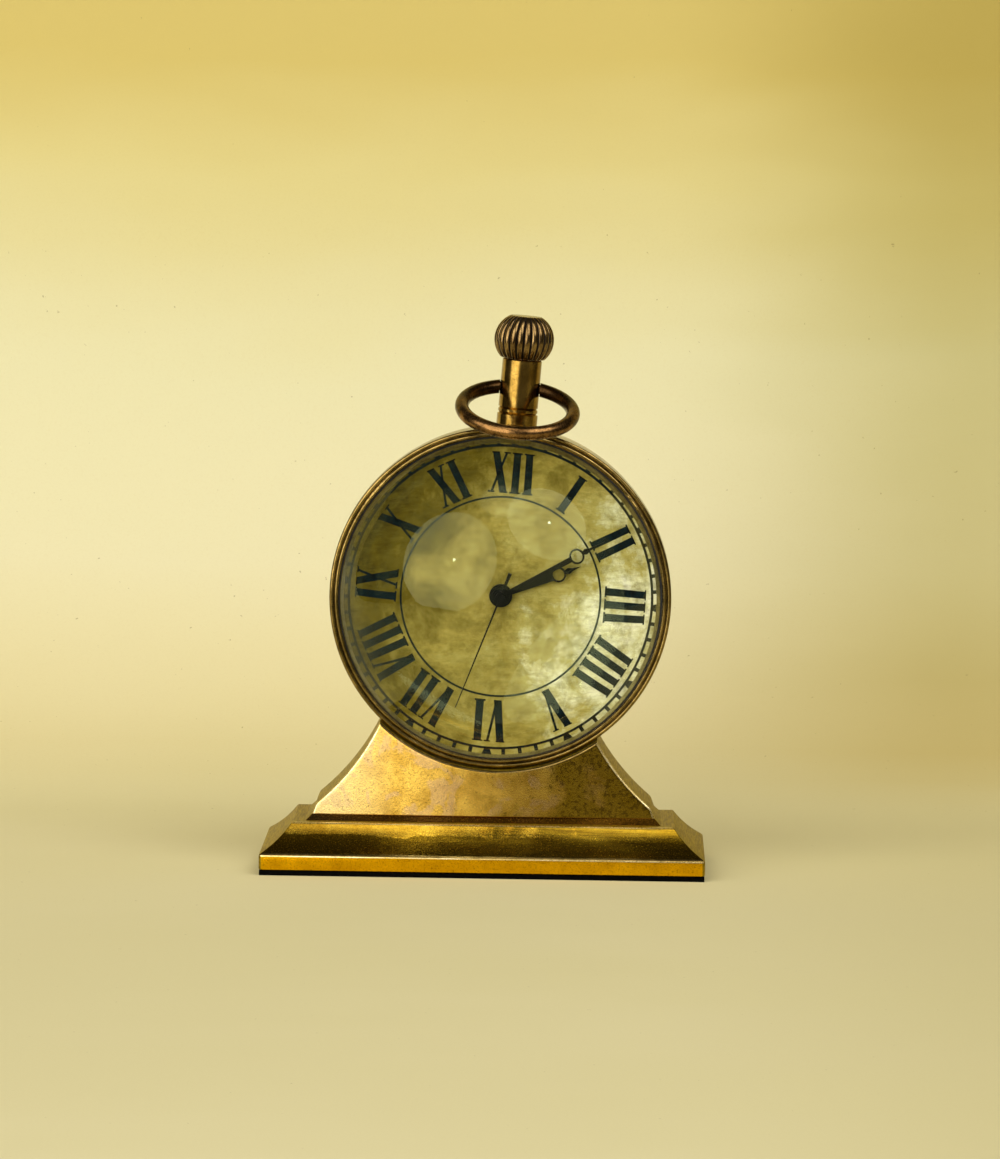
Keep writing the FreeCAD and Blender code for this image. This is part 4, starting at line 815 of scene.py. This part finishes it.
def make_lamp(name, way, half_angle, radiance, tint, distance):
    """A round lamp that faces the clock."""
    radius = distance * math.tan(math.radians(half_angle))
    light = bpy.data.lights.new(name, "AREA")
    light.shape = "DISK"
    light.size = radius * 2
    light.energy = radiance * math.pi * math.pi * radius ** 2
    light.color = colour(tint)[:3]
    obj = bpy.data.objects.new(name, light)
    way = Vector(way).normalized()
    obj.location = way * distance + CLOCK_MIDDLE
    obj.rotation_euler = way.to_track_quat("Z", "Y").to_euler()
    bpy.context.scene.collection.objects.link(obj)


def lobe(tree, way, middle, cosine_far, cosine_near, strength):
    """Light from the room around one direction, fading smoothly to its edge."""
    along = add(tree, "ShaderNodeVectorMath", {
        0: way, 1: Vector(middle).normalized()}, operation="DOT_PRODUCT").outputs["Value"]
    return add(tree, "ShaderNodeMapRange", {
        "Value": along, "From Min": cosine_far, "From Max": cosine_near, "To Min": 0.0,
        "To Max": strength}, interpolation_type="SMOOTHSTEP").outputs[0]


# the backdrop, in metres
FLOOR_FRONT = -0.36
STAGE_HALF = 0.5
SWEEP_START = 0.07
SWEEP_RADIUS = 0.11
SWEEP_STEP_DEGREES = 6
WALL_TOP = 0.3


def backdrop_paper():
    """Cream card: darker high up, and darker at the right under a painted shadow of the clock,
    with a warm band low down, fine fibres and dust; its heights and distances to the right are
    in metres. Seen from its rear, it lets the view through to the clock's back."""
    material, tree, place = new_material("paper_backdrop_cream")
    x, _, height = axes(tree, place)
    cloud = times(tree, noise(tree, place, 90, detail=3, stretch=(0.5, 1, 1.6)), 0.05)
    wall = ramp(tree, plus(tree, height, cloud), (0.02, "#D5CEA1"), (0.045, "#DAD3AA"),
                (0.07, "#DAD5B1"), (0.107, "#D8D5AF"), (0.142, "#D4CA8E"), (0.167, "#CBBA6F"))
    right = ramp(tree, plus(tree, x, cloud), (0.05, 0.0), (0.125, 1.0), smooth=True)
    # painted shadow of the clock: the card darkens towards the right
    clock_shadow_share = times(tree, right, ramp(tree, height, (0.0, 0.35), (0.02, 1.0)))
    wall = mix(tree, clock_shadow_share, wall, "#DEDABE", blend="MULTIPLY")
    warm = ramp(tree, height, (0.0, 0.0), (0.006, 1.0), (0.016, 0.7), (0.04, 0.0))
    warm = times(tree, warm, plus(tree, 0.4, times(tree, right, 0.6)))
    wall = mix(tree, warm, wall, "#F2E8CC", blend="MULTIPLY")
    fine = noise(tree, place, 0.5, detail=3, rough=0.7)
    shade = mix(tree, ramp(tree, fine, (0.5, 0.0), (0.8, 0.12)), wall, "#BDA868")
    dust = noise(tree, place, 1.2, detail=2, rough=0.6)
    shade = mix(tree, ramp(tree, dust, (0.74, 0.0), (0.78, 0.5)), shade, "#6E5A2C")
    card = add(tree, "ShaderNodeBsdfPrincipled", {
        "Base Color": shade, "Roughness": 0.9, "Normal": bump(tree, fine, 0.1, 0.15)})
    finish_material(tree, add(tree, "ShaderNodeMixShader", {
        0: add(tree, "ShaderNodeNewGeometry").outputs["Backfacing"], 1: card.outputs[0],
        2: add(tree, "ShaderNodeBsdfTransparent").outputs[0]}))
    return material


def make_backdrop():
    """A floor that sweeps up close behind the clock."""
    sweep = [(FLOOR_FRONT, 0.0), (SWEEP_START, 0.0)]
    for degrees in range(SWEEP_STEP_DEGREES, 91, SWEEP_STEP_DEGREES):
        turn = math.radians(degrees)
        sweep.append((SWEEP_START + SWEEP_RADIUS * math.sin(turn),
                      SWEEP_RADIUS - SWEEP_RADIUS * math.cos(turn)))
    sweep.append((SWEEP_START + SWEEP_RADIUS, WALL_TOP))
    points = [(x, y, z) for y, z in sweep for x in (-STAGE_HALF, STAGE_HALF)]
    faces = [(n, n + 1, n + 3, n + 2) for n in range(0, len(points) - 2, 2)]
    mesh = bpy.data.meshes.new("backdrop")
    mesh.from_pydata(points, [], faces)
    mesh.materials.append(backdrop_paper())
    for face in mesh.polygons:
        face.use_smooth = True
    backdrop = bpy.data.objects.new("backdrop", mesh)
    bpy.context.scene.collection.objects.link(backdrop)


def make_room():
    """A dim room, which the brass mirrors: a pale wall low in front to the left, and a lit
    ceiling. The camera itself sees plain light past the backdrop."""
    world = bpy.data.worlds.new("room")
    world.use_nodes = True
    tree = world.node_tree
    tree.nodes.clear()
    way = add(tree, "ShaderNodeTexCoord").outputs["Generated"]
    above_table = add(tree, "ShaderNodeMapRange", {
        "Value": axes(tree, way)[2], "From Min": -0.06, "From Max": -0.015}).outputs[0]
    # each lobe has a direction, the cosines of the angles where it ends and is full, a strength
    wall_left = lobe(tree, way, (-0.40, -0.91, 0.02), 0.93, 0.985, 1.1)
    ceiling = lobe(tree, way, (0.0, -0.39, 0.92), 0.972, 0.986, 1.9)
    front = lobe(tree, way, (0.0, -0.9, 0.3), -0.2, 0.9, 0.1)
    level = plus(tree, times(tree, wall_left, above_table), plus(tree, ceiling, front))
    level = plus(tree, level, DARK_LEVEL)
    seen = add(tree, "ShaderNodeLightPath").outputs["Is Camera Ray"]
    level = plus(tree, times(tree, level, minus(tree, 1.0, seen)),
                 times(tree, seen, SEEN_LEVEL))
    sky = add(tree, "ShaderNodeBackground", {"Color": colour("#FFF6E2"), "Strength": level})
    tree.links.new(sky.outputs[0], add(tree, "ShaderNodeOutputWorld").inputs["Surface"])
    bpy.context.scene.world = world


# ---------------------------------------------------------------- base
HORN_RADIUS = 41.5
HORN_CENTRE = (56.69, 43.9)
CRADLE_RADIUS = 31.1
CRADLE_CENTRE = (CASE_X, CASE_Z)
BLOCK_TOP = 29.95
BLOCK_LEAN = 0.9
BLOCK_CROWN = 0.35
BLOCK_EDGE = 0.4
BLOCK_SINK = 0.1
FOOT_CHAMFER = 0.2
TUCK = 1.0
# how far corners are cut back to round them
FINE_CUT = 0.1
CREASE_CUT = 0.15
EDGE_CUT = 0.2
SHOULDER_CUT = 0.4
MOST_CUT = 0.45
# heights between which the crease over the plinth gets painted shade
CREASE_LOW = PLINTH_TOP + 0.05
CREASE_HIGH = COVE_FOOT + 0.1
COVE_STEPS = 14
COLUMNS = 96
ROWS = 33
ROUNDING = 5
EDGE_STEPS = 6
# heights between which a horn's tip is looked for, and how often that gap is halved
TIP_LOW = 15.0
TIP_HIGH = 29.9
HALVINGS = 40
# the casting's materials besides plain cast brass, by their numbers: the rubbed edge with its
# painted highlight, and dark brass as painted shade
RUBBED_AND_HIGHLIT = 1
PAINTED_SHADE = 2


def softened(outline):
    """Round each corner of an open outline of (x, y, cut back, finish) points; every point
    found carries the finish of the rounding that leads up to it, 0 along the straights."""
    found = []
    last = len(outline) - 1
    for number, (x, y, back, finish) in enumerate(outline):
        if number in (0, last) or not back:
            found.append((x, y, 0))
            continue
        here = Vector((x, y))
        before = Vector(outline[number - 1][:2]) - here
        after = Vector(outline[number + 1][:2]) - here
        start = here + before.normalized() * min(back, before.length * MOST_CUT)
        end = here + after.normalized() * min(back, after.length * MOST_CUT)
        for step in range(ROUNDING):
            share = step / (ROUNDING - 1)
            low = start.lerp(here, share)
            high = here.lerp(end, share)
            found.append((*low.lerp(high, share), finish if step else 0))
    return found


def rounded_rectangle(half_x, half_y, corner):
    """Points (x, y) around a rectangle whose corners are arcs."""
    points = []
    for side_x, side_y, first in ((1, 1, 0), (-1, 1, 90), (-1, -1, 180), (1, -1, 270)):
        middle = (side_x * (half_x - corner), side_y * (half_y - corner))
        points += arc(middle, corner, first, first + 90, ROUNDING)
    return points


def cove_arc():
    """The cove's hollow from its foot to its top: (inset, height)."""
    inner = BEVEL + COVE_INSET
    chord = math.hypot(COVE_INSET, COVE_TOP - COVE_FOOT)
    reach = math.sqrt(COVE_RADIUS ** 2 - (chord / 2) ** 2)
    middle = Vector(((BEVEL + inner) / 2, (COVE_FOOT + COVE_TOP) / 2))
    centre = middle + Vector((-(COVE_TOP - COVE_FOOT), COVE_INSET)) / chord * reach
    first = math.degrees(math.atan2(COVE_FOOT - centre.y, BEVEL - centre.x))
    last = math.degrees(math.atan2(COVE_TOP - centre.y, inner - centre.x))
    return arc(centre, COVE_RADIUS, first, last, COVE_STEPS)


def base_stack():
    """Plinth, cove, ledge and step as loops of rounded rectangles, with rubbed edges that
    carry a painted highlight, and painted shade in the crease over the plinth.
    """
    cove = cove_arc()
    outline = [(FOOT_CHAMFER, FELT_TOP, 0, 0), (0.0, FELT_TOP + FOOT_CHAMFER, FINE_CUT, 0),
               (0.0, PLINTH_TOP, EDGE_CUT, RUBBED_AND_HIGHLIT), (*cove[0], CREASE_CUT, PAINTED_SHADE)]
    outline += [(x, y, 0, 0) for x, y in cove[1:-1]]
    outline += [(*cove[-1], SHOULDER_CUT, RUBBED_AND_HIGHLIT),
                (BEVEL + COVE_INSET + LEDGE, COVE_TOP, FINE_CUT, 0),
                (FOOT_INSET, STEP_TOP, EDGE_CUT, 0), (FOOT_INSET + TUCK, STEP_TOP, 0, 0)]
    points = []
    loops = []
    for inset, height, finish in softened(outline):
        # painted shade in the crease over the plinth
        if CREASE_LOW < height < CREASE_HIGH:
            finish = PAINTED_SHADE
        corner = PLINTH_CORNER if height < PLINTH_TOP else MITRE_CORNER
        loop = rounded_rectangle(HALF_X - inset, HALF_Y - inset, corner)
        loops.append((list(range(len(points), len(points) + len(loop))), finish))
        points += [(x, y, height) for x, y in loop]
    faces = []
    marks = []
    for (low, _), (high, finish) in zip(loops, loops[1:]):
        for face in band(low, high):
            start, end = points[face[0]], points[face[1]]
            along_x = abs(end[0] - start[0]) > abs(end[1] - start[1])
            faces.append(face)
            marks.append(finish if along_x else 0)
    faces += [loops[0][0][::-1], loops[-1][0]]
    return points, faces, marks + [0, 0]


def block_side(height, inset):
    """Half width of the upper block at a height: its concave sides, and the flare below."""
    if height < FLARE_TOP:
        flare = FLARE * (height - STEP_TOP) / (FLARE_TOP - STEP_TOP)
        return HALF_X - FOOT_INSET - flare - inset
    return HORN_CENTRE[0] - math.sqrt((HORN_RADIUS + inset) ** 2 - (height - HORN_CENTRE[1]) ** 2)


def block_tip(side, inset):
    """Height at which one concave side meets the cradle."""
    low, high = TIP_LOW, TIP_HIGH
    for _ in range(HALVINGS):
        middle = (low + high) / 2
        reach = math.sqrt((CRADLE_RADIUS + inset) ** 2 - (CRADLE_CENTRE[1] - middle) ** 2)
        if block_side(middle, inset) > reach + side * CRADLE_CENTRE[0]:
            low = middle
        else:
            high = middle
    return low


def block_edges(inset):
    """The four edges of the block's outline: bottom and cradle by column, sides by row."""
    tips = [block_tip(side, inset) for side in (-1, 1)]
    ends = [-block_side(tips[0], inset), block_side(tips[1], inset)]
    foot = STEP_TOP - BLOCK_SINK
    half = block_side(foot, inset)
    bottom = [Vector((half * (2 * n / COLUMNS - 1), foot)) for n in range(COLUMNS + 1)]
    angles = [math.atan2(tips[n] - CRADLE_CENTRE[1], ends[n] - CRADLE_CENTRE[0]) for n in (0, 1)]
    top = []
    for n in range(COLUMNS + 1):
        angle = angles[0] + (angles[1] - angles[0]) * n / COLUMNS
        top.append(Vector((CRADLE_CENTRE[0] + (CRADLE_RADIUS + inset) * math.cos(angle),
                           CRADLE_CENTRE[1] + (CRADLE_RADIUS + inset) * math.sin(angle))))
    sides = []
    for side, tip in ((-1, tips[0]), (1, tips[1])):
        column = []
        for n in range(ROWS + 1):
            height = foot + (tip - foot) * n / ROWS
            column.append(Vector((side * block_side(height, inset), height)))
        sides.append(column)
    return bottom, top, sides[0], sides[1]


def block_face(x, height):
    """Distance of the block's front face from the middle plane: it leans in upwards and
    bulges slightly towards its middle."""
    bulge = BLOCK_CROWN * (1 - (x / (HALF_X - FOOT_INSET)) ** 2)
    return HALF_Y - FOOT_INSET + bulge - BLOCK_LEAN * (height - STEP_TOP) / (BLOCK_TOP - STEP_TOP)


def patch_point(edges, row, column):
    """A point inside four edges, blended from all of them (a Coons patch)."""
    bottom, top, left, right = edges
    u = column / COLUMNS
    v = row / ROWS
    return (bottom[column] * (1 - v) + top[column] * v
            + left[row] * (1 - u) + right[row] * u
            - bottom[0] * (1 - u) * (1 - v) - bottom[-1] * u * (1 - v)
            - top[0] * (1 - u) * v - top[-1] * u * v)


def edge_finish(number):
    """Finish of the block's rounded edge, by a point's number in its loop: the foot comes
    first, then the right side, the cradle and the left side. The cradle's edge takes painted
    shade; the sides take the rubbed edge with its painted highlight."""
    if number < COLUMNS:
        return 0
    return PAINTED_SHADE if COLUMNS + ROWS <= number < COLUMNS * 2 + ROWS else RUBBED_AND_HIGHLIT


def base_block():
    """The upper block with its two horns: softly crowned faces and rounded edges."""
    points = []
    faces = []
    edges = block_edges(BLOCK_EDGE)
    wide = COLUMNS + 1
    for way in (-1, 1):
        first = len(points)
        for row in range(ROWS + 1):
            for column in range(wide):
                spot = patch_point(edges, row, column)
                points.append((spot.x, way * block_face(spot.x, spot.y), spot.y))
        for row in range(ROWS):
            for column in range(COLUMNS):
                corner = first + row * wide + column
                faces.append([corner, corner + 1, corner + wide + 1, corner + wide])
    marks = [0] * len(faces)

    turns = [90 * n / EDGE_STEPS for n in range(EDGE_STEPS + 1)]
    loops = []
    for way, degrees in [(-1, turn) for turn in turns] + [(1, turn) for turn in turns[::-1]]:
        turn = math.radians(degrees)
        bottom, top, left, right = block_edges(BLOCK_EDGE * (1 - math.sin(turn)))
        loop = bottom + right[1:] + top[::-1][1:] + left[::-1][1:-1]
        loops.append(list(range(len(points), len(points) + len(loop))))
        for spot in loop:
            depth = block_face(spot.x, spot.y) - BLOCK_EDGE * (1 - math.cos(turn))
            points.append((spot.x, way * depth, spot.y))
    for ring, (low, high) in enumerate(zip(loops, loops[1:])):
        faces += band(low, high)
        rounded = ring != EDGE_STEPS
        marks += [edge_finish(number) if rounded else 0 for number in range(len(low))]
    return points, faces, marks


def make_base():
    """The whole casting: two closed bodies that run into each other at the block's foot."""
    points, faces, marks = base_stack()
    more_points, more_faces, more_marks = base_block()
    start = len(points)
    faces += [[number + start for number in face] for face in more_faces]
    # the dark brass stands for painted shade on the cradle's edge and in the crease
    base = make_piece("base_polished", points + more_points, faces,
                      (CAST_BRASS, WORN_HIGHLIT_BRASS, RIM_BRASS),
                      replaced=("base_casting",), weld=True, marks=marks + more_marks)
    smooth_shade(base, degrees=32)


make_base()
make_camera()
make_backdrop()
make_room()
for lamp in LAMPS:
    make_lamp(*lamp)
bpy.context.scene.view_settings.view_transform = "Standard"
